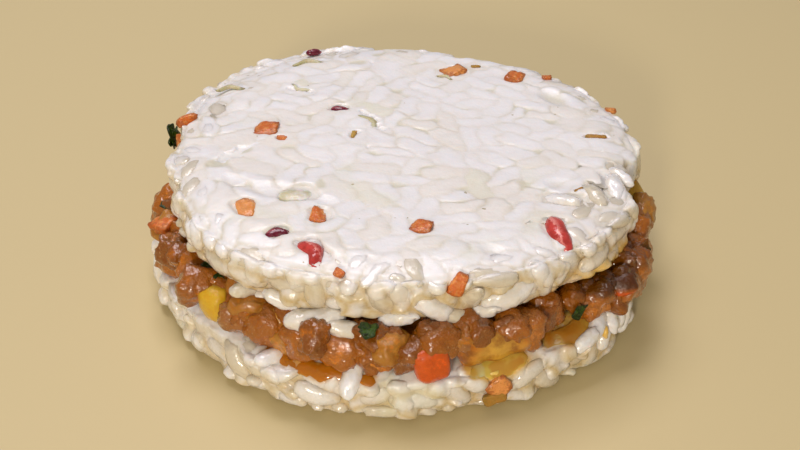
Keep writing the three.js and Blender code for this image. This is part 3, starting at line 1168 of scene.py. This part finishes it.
def make_patty(prefix, node, seed, facing, bits, context):
    """A patty: grains stuck together and pressed, whole ones on its sides, and the bits that lie in it."""
    settings, filling = context.scene.rice_burger_rice, context.scene.rice_burger_filling
    rng = np.random.default_rng(seed)
    layer = Layer(node)

    def shown(points, normals):
        return (facing * normals[:, 2] > SEEN_UP) | (layer.from_middle(points) > SEEN_FROM)

    size = (settings.grain_length, settings.grain_width, settings.grain_height)
    variants = [shape_grain(number, size) for number in range(GRAIN_VARIANTS)]
    skin, under, on_side = pack_rice(layer, rng, settings, shown, bits)
    face, side = (skin.only(np.nonzero(chosen)[0]) for chosen in (~on_side, on_side))
    parts = [
        grain_copies(prefix + "rice", variants, face, layer, rng, settings, FACE_GROWN),
        grain_copies("sides", variants, side, layer, rng, settings, SIDE_GROWN),
        grain_copies("under", variants, under, layer, rng, settings, FACE_GROWN),
    ]
    grains = grain_copies(prefix + "grains", variants, side, layer, rng, settings, WHOLE_GROWN)
    discard(variants)
    patty = fuse([*parts, inner_core(node, CORE_DEPTH)], settings.voxel, *RICE_SMOOTHING)
    skin_map = SkinMap(skin, len(on_side), rng)
    press_patty(patty, layer, skin_map, settings)
    thin_out(patty, PATTY_TRIANGLES)
    mark_rice(patty, layer, skin_map, settings)
    stuck = rice_finish(patty.name, settings, coat=0.06, through=0.6, whole=False)
    finish_piece(patty, stuck, RICE_SLOT, node)
    press(grains, layer, settings)
    points, _, out = layer.measure(grains)
    set_places(grains.data, points - out * wear(layer, points, out, settings)[:, None])
    mark_rice(grains, layer, skin_map, settings)
    whole = rice_finish(grains.name, settings, coat=0.7, through=0.4, whole=True)
    finish_piece(grains, whole, RICE_SLOT)
    sizes = np.array([bit.size for bit in bits]) * MM
    names = [bit.kind for bit in bits]
    make_bits(prefix, bits, names, bit_lumps(bits, layer), sizes, None, layer, (settings, filling))


class SkinMap:
    """Which grain each point of a patty's skin belongs to."""

    REACH = 4 * MM
    LOOKED_UP = 9
    SPREAD, BIT_SPREAD = 0.35, 0.25  # How far seams of grains and of bits are moved, in millimetres
    SQUASHED = np.array([1, 1, 0.5])  # On the faces, height counts for less than distance along the face
    WAVER = 3.0 * MM, (6, 7, 8)  # The size and the seeds of what makes seams waver

    def __init__(self, skin, count, rng):
        total = len(skin.middles)
        self.owner = np.repeat(np.arange(total), Lumps.BALLS)
        self.is_bit = np.arange(total) >= count
        spread = rng.uniform(-self.SPREAD, self.SPREAD, total)
        self.spread = np.where(self.is_bit, self.BIT_SPREAD, spread) * MM
        self.tone, self.step = rng.random(total), rng.uniform(-1, 1, total)
        self.slope = rng.normal(0, 1, (total, 3))
        self.middles, self.radius = skin.middles, skin.radius
        self.balls = skin.balls().reshape(-1, 3)
        self.trees = grown_tree(self.balls), grown_tree(self.balls * self.SQUASHED)

    def look_up(self, points, flat):
        """Each point's grain, how far off that grain's middle line is, how much farther the next grain's is,
        and the nearest ball of its grain."""
        size, seeds = self.WAVER
        shift = np.stack([ripple(points, size, seed) for seed in seeds], axis=1)
        points = points + shift * (0.2 + 0.3 * flat[:, None]) * MM
        index = np.empty((len(points), self.LOOKED_UP), int)
        away = np.empty((len(points), self.LOOKED_UP))
        level = flat > 0.5
        for tree, chosen, squash in zip(self.trees, (~level, level), (np.ones(3), self.SQUASHED)):
            rows = np.nonzero(chosen)[0]
            for row, point in zip(rows, (points[rows] * squash).tolist()):
                found = tree.find_n(point, self.LOOKED_UP)
                index[row] = [f[1] for f in found]
                away[row] = [f[2] for f in found]
        owner = self.owner[index]
        away -= self.spread[owner]
        rows = np.arange(len(points))
        first = away.argmin(1)
        grain, nearest, near_ball = owner[rows, first], away[rows, first], self.balls[index[rows, first]]
        away[owner == grain[:, None]] = np.inf
        return grain, nearest, np.minimum(away.min(1) - nearest, self.REACH), near_ball


# Where each thing starts and over what width it grows: by distance from the axis, in shares of the radius,
WORN, LOOSE, LESS_PRESSED, SUNK_RIM = (0.82, 0.18), (0.8, 0.2), (0.86, 0.14), (0.84, 0.05)
# by how far the way out rises,
FACE, PRESSED_FACE = (0.45, 0.4), (0.3, 0.6)
# and by distance from the middle line of a grain.
HOLLOW = (1.4 * MM, 0.8 * MM)
# The size and the seed of each unevenness.
LOOSE_RIPPLE, HOLLOW_RIPPLE, POCKET_RIPPLE = (6 * MM, 9), (5 * MM, 17), (7 * MM, 12)
WAVE_RIPPLE, PRESS_RIPPLE, FACE_RIPPLE = (14 * MM, 4), (9 * MM, 3), (8 * MM, 15)
RIPPLE_WAVES, RIPPLE_PITCH, RIPPLE_HEIGHT = 8, 2.2, 2.8
# How much a grain slopes, and how deep pockets and waves are in millimetres.
SLOPE = 0.006
POCKET_DEPTH, WAVE_DEPTH = 0.8, 0.10
# How much of their steps and their domes grains keep on the faces, and how much more where they lie loosely.
STEPS, DOMES = (0.25, 0.9), (0.6, 1.3)
# How much of a bit's radius its socket takes up, and how wide the socket's edge is.
SOCKET_SHARE, SOCKET_EDGE = 0.95, 0.3 * MM
# The deepest hollow that pressing fills.
MOST_FILLED = 4 * MM
# In millimetres on the sides, and how much less on the faces: where the painted shade of pits starts, and
# over what depth it grows.
PIT_START, PIT_WIDTH = (0.45, 0.22), (1.5, 0.9)
# The tone of rice that belongs to no grain, how far below its top a patty starts to look like its side, and
# how much seams and the painted shade of pits fade on the lit left of the lower patty.
CORE_TONE = 0.2
TOP_EDGE = 5 * MM
LIT_FADE = 0.75


def ramp(value, start, width):
    """Nothing up to a start, and one from a width further on."""
    return np.clip((value - start) / width, 0, 1)


def ripple(points, size, seed):
    """Smooth unevenness, mostly between minus one and one, of about a size."""
    rng = np.random.default_rng(seed)
    waves = rng.normal(size=(RIPPLE_WAVES, 3)) * RIPPLE_PITCH / size
    return np.sin(points @ waves.T + rng.uniform(0, 6.3, RIPPLE_WAVES)).sum(1) / RIPPLE_HEIGHT


def flatness(out):
    """One on the faces of a layer and nothing on its sides."""
    return ramp(np.abs(out[:, 2]), *FACE)


def wear(layer, points, out, settings):
    """How far the rims of the faces are rounded off."""
    return ramp(layer.from_middle(points), *WORN) ** 2 * settings.worn_rim * flatness(out)


def looseness(layer, points):
    """How loosely the grains of a face lie: a little here and there, and towards its rim."""
    rim = ramp(layer.from_middle(points), *LOOSE)
    return np.clip(0.65 * ripple(points, *LOOSE_RIPPLE) - 0.15, 0, 1) + rim**2


def hollows(points, nearest, flat):
    """Where the faces have small hollows between grains."""
    here = np.clip(1.8 * ripple(points, *HOLLOW_RIPPLE) - 0.95, 0, 1)
    return ramp(nearest, *HOLLOW) ** 1.5 * here * flat


def press_patty(obj, layer, skin_map, settings):
    """Presses a patty: flat grains that fit tightly on the faces, rounder ones on its sides, and sockets."""
    press(obj, layer, settings)
    points, depth, out = layer.measure(obj)
    flat = flatness(out)
    grain, nearest, seam, _ = skin_map.look_up(points, flat)
    known = nearest < skin_map.REACH
    loose = looseness(layer, points)
    most = 2 * settings.step
    slope = (skin_map.slope[grain] * (points - skin_map.middles[grain])).sum(1) * SLOPE
    step = np.clip(skin_map.step[grain] * settings.step + slope, -most, most)
    kept, more = STEPS
    step *= kept + more * loose
    rounded = 1 - np.exp(-((seam / settings.seam_width) ** 1.5))
    kept, more = DOMES
    dome = settings.pressed_face * (kept + more * loose) * rounded
    gap = hollows(points, nearest, flat) * settings.hollow_face * 0.5
    pocket = np.clip(ripple(points, *POCKET_RIPPLE) - 1.2, 0, 1) * POCKET_DEPTH * MM
    wave = ripple(points, *WAVE_RIPPLE) * WAVE_DEPTH * MM + pocket + wear(layer, points, out, settings)
    wave += ramp(layer.from_middle(points), *SUNK_RIM) * settings.rim_gap
    wanted = gap - step - dome + wave
    moved = depth + (wanted - depth) * (flat * known)
    beneath = ramp(SOCKET_SHARE * skin_map.radius[grain], nearest, SOCKET_EDGE) * skin_map.is_bit[grain]
    moved = moved + np.clip(settings.socket - moved, 0, None) * beneath
    points += out * (depth - moved)[:, None]
    points[:, 2] = np.clip(points[:, 2], 0, None)
    set_places(obj.data, points)
    modify(obj, "SMOOTH", factor=0.5, iterations=2)


def press(obj, layer, settings):
    """Flattens what stands out of the layer and fills its hollows, mostly on the faces."""
    points, depth, out = layer.measure(obj)
    rim = ramp(layer.from_middle(points), *LESS_PRESSED)
    flat = ramp(np.abs(out[:, 2]), *PRESSED_FACE) * (1 - 0.45 * rim)
    uneven = 1 + 0.8 * np.clip(ripple(points, *PRESS_RIPPLE), -0.7, 1.5) * flat
    proud_left = settings.pressed_side + (settings.pressed_face - settings.pressed_side) * flat
    hollow_left = (settings.hollow_side + (settings.hollow_face - settings.hollow_side) * flat) * uneven
    proud, hollow = np.clip(-depth, 0, None), np.clip(depth, 0, None)
    shallow = hollow < MOST_FILLED
    points -= out * (proud - proud_left * (1 - np.exp(-proud / proud_left)))[:, None]
    lift = hollow - hollow_left * (1 - np.exp(-hollow / hollow_left))
    points += out * (lift * shallow)[:, None]
    points[:, 2] = np.clip(points[:, 2], 0, None)
    set_places(obj.data, points)


def grown_tree(points):
    """A tree of points to look up the nearest in."""
    tree = KDTree(len(points))
    for i, point in enumerate(points.tolist()):
        tree.insert(point, i)
    tree.balance()
    return tree


def mark_rice(obj, layer, skin_map, settings):
    """Gives every vertex the tone of its grain, how near its seam with the next it lies, how far from its
    crown, how deep, which paints shade in crevices and hollows, and how stained."""
    mesh = obj.data
    unmark(mesh, "tone", "own_place")
    points, depth, out = layer.measure(obj)
    flat = flatness(out)
    grain, nearest, seam, near_ball = skin_map.look_up(points, flat)
    known = nearest < skin_map.REACH
    loose = looseness(layer, points)
    mark(mesh, "tone", np.where(known, skin_map.tone[grain], CORE_TONE))
    # Seams and the painted shade of pits fade on the lit left of the lower patty, below the middle height.
    shade_kept = 1 - (points[:, 2] < MIDDLE_HEIGHT) * LIT_FADE * towards(points, *LIT_LEFT)
    soft = 1 - flat * np.clip(0.6 - loose, 0, 1)
    mark(mesh, "seam", np.exp(-seam / settings.seam_width) * known * soft * shade_kept)
    # Painted shade in crevices and hollows: this mark grows with depth below the layer, sooner on the faces.
    depth = depth - wear(layer, points, out, settings)
    (start, start_less), (width, width_less) = PIT_START, PIT_WIDTH
    deep = (depth - (start - start_less * flat) * MM) / ((width - width_less * flat) * MM)
    mark(mesh, "pit", np.clip(np.maximum(deep, hollows(points, nearest, flat) * known), 0, 1) * shade_kept)
    below_top = ramp(layer.high[2], points[:, 2], TOP_EDGE)
    uneven = np.clip(ripple(points, *FACE_RIPPLE), 0, 1)
    mark(mesh, "face", np.maximum(flat, 1 - below_top - 0.3 * uneven))
    off_crown = points - near_ball
    off_crown -= out * (off_crown * out).sum(1)[:, None]
    off_crown = np.linalg.norm(off_crown, axis=1) / (0.5 * settings.grain_width)
    mark(mesh, "rim", np.clip(off_crown, 0, 1) * known)
    mark(mesh, "stain", stain_of(points))
    mark(mesh, "amber", amber_of(points))


# ---------------------------------------------------------------- where sauce has run

MIDDLE_HEIGHT = 15 * MM
UPPER_FLOOR = 16 * MM
# A direction and a spread round the burger, in degrees: where sauce leaks and where most has spilt, where
# the upper patty has dipped in it, where that patty shades the filling, and where the lit lower one keeps
# less painted shade.
LEAK, SPILL, DIP, SHADE, LIT_LEFT = (-28, 30), (-41, 12), (-32, 20), (-38, 18), (-150, 45)
# And where the sauce is yellow, and a little less so.
YELLOW, HALF_YELLOW = (-69, 7), (-38, 11)
# How steeply pools fall off, how much their edges ripple, and the size and the seed of that.
POOL_FALL, POOL_WAVER = 1.6, 0.3
POOL_RIPPLE = (3.2 * MM, 31)
# How far stains reach: beside sauce, in millimetres, and beside pools, in their radii, and how much farther
# where sauce leaks or has spilt. And how far up the upper patty has dipped.
SAUCE_REACH, LEAK_REACH = 0.8, 2.6
POOL_REACH, SPILL_REACH = 0.35, 1.0
POOL_EDGE = 0.7
DIP_HEIGHT = 5 * MM
# How strong stains are: beside pools and how much more in clear sauce, beside sauce and how much more where
# it leaks, and where the rice has dipped in it.
POOL_STAIN, SAUCE_STAIN, DIP_STAIN = (0.55, 0.4), (0.3, 0.6), 0.6
# Where thin sauce lies: its direction in degrees, its distance, height and radius in millimetres.
POOLS = [
    (-120, 46.0, 10.0, 1.6), (-115, 46.6, 9.8, 1.8), (-110, 47.3, 9.6, 1.9), (-105.5, 47.9, 9.4, 1.9),
    (-101.5, 48.2, 9.2, 2.0), (-97, 47.8, 9.6, 1.6),
    (-73.5, 47.2, 10.9, 2.4), (-68.5, 47.2, 11.7, 3.0), (-64.2, 47.2, 11.2, 2.6), (-75, 47.6, 9.8, 1.8),
    (-70.5, 48.4, 8.6, 1.9), (-67, 48.3, 9.2, 2.2), (-63.5, 48.0, 9.9, 1.8),
    (-55, 46.4, 10.6, 2.0), (-51, 46.8, 10.5, 2.2), (-47.5, 47.1, 10.4, 2.4), (-44, 47.4, 10.2, 2.3),
    (-40, 47.9, 10.2, 2.2), (-36.5, 48.6, 9.8, 1.9), (-43, 49.2, 8.8, 1.3), (-37.5, 49.8, 8.0, 1.0),
]


def pool_reach(points):
    """How far each point is from the nearest pools, as a share of their radius, with a rippled edge."""
    pools = np.array(POOLS)
    angle = np.radians(pools[:, 0])
    middles = np.stack([np.cos(angle) * pools[:, 1], np.sin(angle) * pools[:, 1], pools[:, 2]], axis=1) * MM
    joined = np.full(len(points), 1e-9)
    for middle, radius in zip(middles, pools[:, 3] * MM):
        joined += np.exp(-POOL_FALL * (np.linalg.norm(points - middle, axis=1) / radius) ** 2)
    reach = np.sqrt(np.clip(-np.log(joined) / POOL_FALL, 0, None))
    return np.clip(reach + POOL_WAVER * ripple(points, *POOL_RIPPLE), 0, None)


def towards(points, direction, spread):
    """How nearly each point lies in a direction round the burger."""
    turn = np.degrees(np.arctan2(points[:, 1], points[:, 0]))
    return np.exp(-(((turn - direction) / spread) ** 2))


def stain_of(points):
    """How much sauce each point has soaked up: beside the sauce and its pools, and where it has dipped."""
    run_out = towards(points, *LEAK)
    near_sauce = distances_to("sauce", points) / ((SAUCE_REACH + LEAK_REACH * run_out) * MM)
    reach = POOL_REACH + SPILL_REACH * towards(points, *SPILL)
    near_pool = np.clip(pool_reach(points) - POOL_EDGE, 0, None) / reach
    faint, strong = POOL_STAIN
    soaked = np.exp(-near_pool) * (faint + strong * np.clip(amber_of(points) + run_out, 0, 1))
    height = points[:, 2] - UPPER_FLOOR
    dipped = (height > 0) * np.clip(1 - height / DIP_HEIGHT, 0, 1) * towards(points, *DIP)
    faint, strong = SAUCE_STAIN
    beside = np.exp(-near_sauce) * (faint + strong * run_out)
    return np.clip(soaked + beside + DIP_STAIN * dipped, 0, 1)


def amber_of(points):
    """How yellow the sauce is: clear and yellow at the front on the right."""
    return towards(points, *YELLOW) + 0.75 * towards(points, *HALF_YELLOW)


def distances_to(name, points):
    """How far each point is from the vertices of an object made before."""
    if name not in bpy.data.objects:
        raise RuntimeError(f"{name} has to be made before what lies against it")
    tree = grown_tree(places(bpy.data.objects[name].data)[::3])
    return np.array([tree.find(point)[2] for point in points.tolist()])


# ---------------------------------------------------------------- filling

FILLING_SEED = 21
# The filling shows past SHOWN_FROM, a share of its radius, where its way out rises less than SHOWN_UP.
SHOWN_FROM, SHOWN_UP = 0.87, 0.97
# Areas are in dice seen from the side. Sizes, depths and clearances are shares of a dice's width.
DICE_AREA, BEHIND_AREA = 0.5, 0.7
DICE_SIZES, BEHIND_SIZES = (0.72, 1.2), (0.8, 1.1)
DICE_HALF, DICE_RADIUS = 0.06, 0.44
BEHIND_DEPTH, BEHIND_RADIUS = 0.75, 0.42
CLEARANCE = 0.12
# How much of what lies behind is meat, how far dice are rolled round their length in radians, how often they
# are pushed apart, and how far too shallow one may end up before it is left out.
MEAT_BEHIND = 0.8
ROLL = 0.5
DICE_ROUNDS = 60
SQUEEZED_OUT = 0.5 * MM
DICE_IN_SAUCE = ("meat_dice", "onion_bits", "carrot_dice", "corn_kernels")
SAUCE_OVER_DICE = 0.28 * MM
SAUCE_VOXEL = 0.5 * MM
# How much lower the sauce lies among the dice where it has leaked.
LEAK_HOLLOW = 0.5 * MM
# Where the filling is darkened with painted shade: how deep in it that starts and over what depth it grows,
# and for the painted shadow under the upper patty, how high it starts, over what height it grows and how
# strong it gets there.
DEEP_START, DEEP_WIDTH = 0.35 * MM, 1.7 * MM
SHADE_START, SHADE_WIDTH, MOST_SHADE = 14.9 * MM, 1.2 * MM, 0.9
# How far sauce shows on meat and meat under sauce, and where sauce is thin, in radii of its pools.
SAUCED_REACH, MEATY_REACH = 0.35 * MM, 0.5 * MM
THIN_EDGE, THIN_FALL = 0.9, 0.3


def pack_filling(layer, settings):
    """Dice side by side in the rim of the filling, round the listed ones, with more behind them."""
    rng = np.random.default_rng(FILLING_SEED)

    def rim(points, normals):
        return (layer.from_middle(points) > SHOWN_FROM) & (np.abs(normals[:, 2]) < SHOWN_UP)

    lumps = bit_lumps(FILLING_BITS, layer)
    points, normals = layer.scatter(settings.dice**2 * DICE_AREA, rng, rim)
    apart = np.linalg.norm(points[:, None] - lumps.middles[None], axis=2) - lumps.radius - lumps.half
    free = (apart > CLEARANCE * settings.dice).all(1)
    points, normals = points[free], normals[free]
    count = len(points)
    size = settings.dice * rng.uniform(*DICE_SIZES, count)
    names = rng.choice(list(FILLING_SHARES), count, p=list(FILLING_SHARES.values()))
    thickness, proud = np.array([(KINDS[name].thickness, KINDS[name].proud) for name in names]).T
    depth = size * thickness / 2 - proud * MM
    middles = points - normals * depth[:, None]
    scattered = Lumps(middles, across(normals, rng), DICE_HALF * size, size * DICE_RADIUS)
    scattered.shallow += depth[:, None]
    lumps.add(scattered)
    lumps.settle(layer, DICE_ROUNDS)
    names = np.where((scattered.middles[:, 1] < 0) & (names != "onion_bits"), "meat_dice", names)
    names = np.array([bit.kind for bit in FILLING_BITS] + list(names))
    sizes = np.concatenate([np.array([bit.size for bit in FILLING_BITS]) * MM, size])
    rolls = np.concatenate([np.zeros(len(FILLING_BITS)), rng.normal(0, ROLL, count)])
    kept = lumps.held | (lumps.shallow[:, 0] - layer.depths(lumps.middles)[0] <= SQUEEZED_OUT)
    lumps = lumps.only(kept)
    points, normals = layer.scatter(settings.dice**2 * BEHIND_AREA, rng, rim)
    count = len(points)
    middles = points - normals * BEHIND_DEPTH * settings.dice
    lumps.add(Lumps(middles, across(normals, rng), 0, BEHIND_RADIUS * settings.dice))
    behind = np.where(rng.random(count) < MEAT_BEHIND, "meat_dice", "onion_bits")
    names = np.concatenate([names[kept], behind])
    sizes = np.concatenate([sizes[kept], settings.dice * rng.uniform(*BEHIND_SIZES, count)])
    rolls = np.concatenate([rolls[kept], rng.normal(0, ROLL, count)])
    return names, lumps, sizes, rolls


def make_sauce(pieces, layer, settings):
    """Thick sauce: a lumpy core that follows the dice, which stand out of it."""
    solids = [pieces.pop("amber_bits")]
    solids += [shrunken(pieces[name], SAUCE_OVER_DICE) for name in DICE_IN_SAUCE]
    solids[0].name = "sauce"
    sauce = fuse([*solids, inner_core(FILLING, settings.sauce_depth)], SAUCE_VOXEL, *SAUCE_SMOOTHING)
    thin_out(sauce, SAUCE_TRIANGLES)
    points, _, out = layer.measure(sauce)
    set_places(sauce.data, points - out * (LEAK_HOLLOW * towards(points, *LEAK))[:, None])
    finish_piece(sauce, sauce_finish("sauce", settings), FILLING_SLOT, FILLING)
    return sauce


def mark_filling(sauce, pieces, layer):
    """Keeps how deep everything lies in the filling, with the upper patty's shadow added, which measures its
    painted shade, and where sauce and meat lie against each other.
    """
    for piece in [sauce, *pieces.values()]:
        points, depth, _ = layer.measure(piece)
        # Painted shadow under the upper patty's rim, and painted shade deep in the filling.
        patty_shadow = np.clip((points[:, 2] - SHADE_START) / SHADE_WIDTH, 0, MOST_SHADE)
        patty_shadow = patty_shadow * towards(points, *SHADE)
        mark(piece.data, "deep", np.clip((depth - DEEP_START) / DEEP_WIDTH, patty_shadow, 1))
    meat = pieces["meat_dice"].data
    mark(meat, "sauced", np.exp(-distances_to("sauce", places(meat)) / SAUCED_REACH))
    points = places(sauce.data)
    off_pool = np.clip(pool_reach(points) - THIN_EDGE, 0, None)
    mark(sauce.data, "thin", np.exp(-off_pool / THIN_FALL) * amber_of(points))
    mark(sauce.data, "meaty", np.exp(-distances_to("meat_dice", points) / MEATY_REACH))


# ---------------------------------------------------------------- operators

# Gravy lies within GRAVY_EDGE radii of its pools. Its film is highest in the middle of a pool and lowest
# beyond its edge, in shares of the film's setting.
GRAVY_EDGE = 1.2
FILM_MIDDLE, FILM_LEAST = 1.15, -0.6
GRAVY_THICKNESS = 0.3 * MM


class RICEBURGER_OT_filling(bpy.types.Operator):
    """Fills the burger with diced meat and vegetables in thick sauce"""

    bl_idname = "rice_burger.filling"
    bl_label = "Filling"

    def execute(self, context):
        rice, settings = context.scene.rice_burger_rice, context.scene.rice_burger_filling
        layer = Layer(FILLING)
        packed = pack_filling(layer, settings)
        pieces = make_bits("", FILLING_BITS, *packed, layer, (rice, settings))
        sauce = make_sauce(pieces, layer, settings)
        mark_filling(sauce, pieces, layer)
        return {"FINISHED"}


class RICEBURGER_OT_gravy(bpy.types.Operator):
    """Lets thin sauce run out over the lower patty"""

    bl_idname = "rice_burger.gravy"
    bl_label = "Gravy"

    def execute(self, context):
        settings = context.scene.rice_burger_filling
        if "lower_rice" not in bpy.data.objects:
            raise RuntimeError("the lower patty has to be made before the sauce that lies on it")
        rice = bpy.data.objects["lower_rice"].data
        points, corners = places(rice), triangles(rice)
        covered = pool_reach(points) < GRAVY_EDGE
        used, corners = np.unique(corners[covered[corners].all(1)], return_inverse=True)
        gravy = mesh_object("gravy", points[used], corners.reshape(-1, 3))
        factor, times = GRAVY_SMOOTHING
        modify(gravy, "SMOOTH", factor=factor, iterations=times)
        points, _, out = Layer(LOWER).measure(gravy)
        film = np.clip(FILM_MIDDLE - pool_reach(points) ** 2, FILM_LEAST, 1)
        set_places(gravy.data, points + out * (film * settings.film)[:, None])
        mark(gravy.data, "film", film)
        mark(gravy.data, "amber", amber_of(points))
        modify(gravy, "SOLIDIFY", thickness=GRAVY_THICKNESS, offset=-1)
        finish_piece(gravy, gravy_finish("gravy", settings), FILLING_SLOT)
        return {"FINISHED"}


class RICEBURGER_OT_upper_patty(bpy.types.Operator):
    """Presses the top patty, with the bits that lie in it"""

    bl_idname = "rice_burger.upper_patty"
    bl_label = "Upper patty"

    def execute(self, context):
        make_patty("upper_", UPPER, UPPER_SEED, UPWARD, UPPER_BITS, context)
        return {"FINISHED"}


class RICEBURGER_OT_lower_patty(bpy.types.Operator):
    """Presses the patty underneath"""

    bl_idname = "rice_burger.lower_patty"
    bl_label = "Lower patty"

    def execute(self, context):
        make_patty("lower_", LOWER, LOWER_SEED, DOWNWARD, LOWER_BITS, context)
        return {"FINISHED"}


# Each lamp's place and width in metres, its power in watts and its colour.
LAMPS = {
    "window": ((-0.12, 0.24, 0.72), 0.4, 3.85, (0.99, 0.94, 1.0)),
    "fill": ((-0.06, -0.58, 0.42), 0.5, 1.1, (1.0, 0.87, 0.70)),
    "spark": ((-0.14, -0.62, 0.24), 0.07, 1.9, (1.0, 0.92, 0.80)),
}
ROOM_LIGHT, ROOM_STRENGTH = (1.0, 0.97, 0.95, 1), 0.22
FLOOR_SIZE = 4
SENSOR_WIDTH = 36
AIM_BACK = 13.3 * MM


class RICEBURGER_OT_stage(bpy.types.Operator):
    """Sets up the floor, the lights and the camera"""

    bl_idname = "rice_burger.stage"
    bl_label = "Stage"

    def execute(self, context):
        settings = context.scene.rice_burger_stage
        bpy.ops.object.select_all(action="DESELECT")
        bpy.ops.mesh.primitive_plane_add(size=FLOOR_SIZE, location=(0, 0, 0))
        floor = bpy.context.object
        floor.name = "floor"
        floor.data.materials.append(Finish("floor", roughness=0.6).set(Base_Color=(*settings.floor, 1)))
        aim = Vector(((CAD_BOX[0][0] + CAD_BOX[1][0]) / 2, AIM_BACK, 0))
        up = settings.elevation
        bpy.ops.object.camera_add(
            location=aim + Vector((0, -math.cos(up), math.sin(up))) * settings.distance,
            rotation=(math.pi / 2 - up, 0, 0),
        )
        camera = bpy.context.object
        camera.data.lens = settings.lens
        camera.data.sensor_width = SENSOR_WIDTH
        camera.data.clip_start = 10 * MM
        context.scene.camera = camera
        for name, (place, width, power, tint) in LAMPS.items():
            light = bpy.data.lights.new(name, "AREA")
            light.size, light.energy, light.color = width, power, tint
            lamp = bpy.data.objects.new(name, light)
            lamp.location = place
            lamp.rotation_euler = (-Vector(place)).to_track_quat("-Z", "Y").to_euler()
            context.scene.collection.objects.link(lamp)
        world = bpy.data.worlds.new("room")
        world.use_nodes = True
        background = world.node_tree.nodes["Background"].inputs
        background["Color"].default_value = ROOM_LIGHT
        background["Strength"].default_value = ROOM_STRENGTH
        context.scene.world = world
        context.scene.view_settings.view_transform = "Standard"
        return {"FINISHED"}


class RICEBURGER_PT_panel(bpy.types.Panel):
    """Lists the burger's pieces in the order in which they are made"""

    bl_label = "Rice Burger"
    bl_idname = "RICEBURGER_PT_panel"
    bl_space_type = "VIEW_3D"
    bl_region_type = "UI"
    bl_category = "Rice Burger"

    def draw(self, context):
        for operator in OPERATORS:
            self.layout.operator(operator.bl_idname)


OPERATORS = (
    RICEBURGER_OT_filling,
    RICEBURGER_OT_upper_patty,
    RICEBURGER_OT_lower_patty,
    RICEBURGER_OT_gravy,
    RICEBURGER_OT_stage,
)
SETTINGS = {
    "rice_burger_rice": RiceSettings,
    "rice_burger_filling": FillingSettings,
    "rice_burger_stage": StageSettings,
}


def register():
    for cls in (*SETTINGS.values(), *OPERATORS, RICEBURGER_PT_panel):
        bpy.utils.register_class(cls)
    for name, cls in SETTINGS.items():
        setattr(bpy.types.Scene, name, bpy.props.PointerProperty(type=cls))


def unregister():
    for name in SETTINGS:
        delattr(bpy.types.Scene, name)
    for cls in reversed((*SETTINGS.values(), *OPERATORS, RICEBURGER_PT_panel)):
        bpy.utils.unregister_class(cls)


def main():
    """Makes every piece."""
    register()
    for operator in OPERATORS:
        family, name = operator.bl_idname.split(".")
        getattr(getattr(bpy.ops, family), name)()
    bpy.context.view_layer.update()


if __name__ == "__main__":
    main()
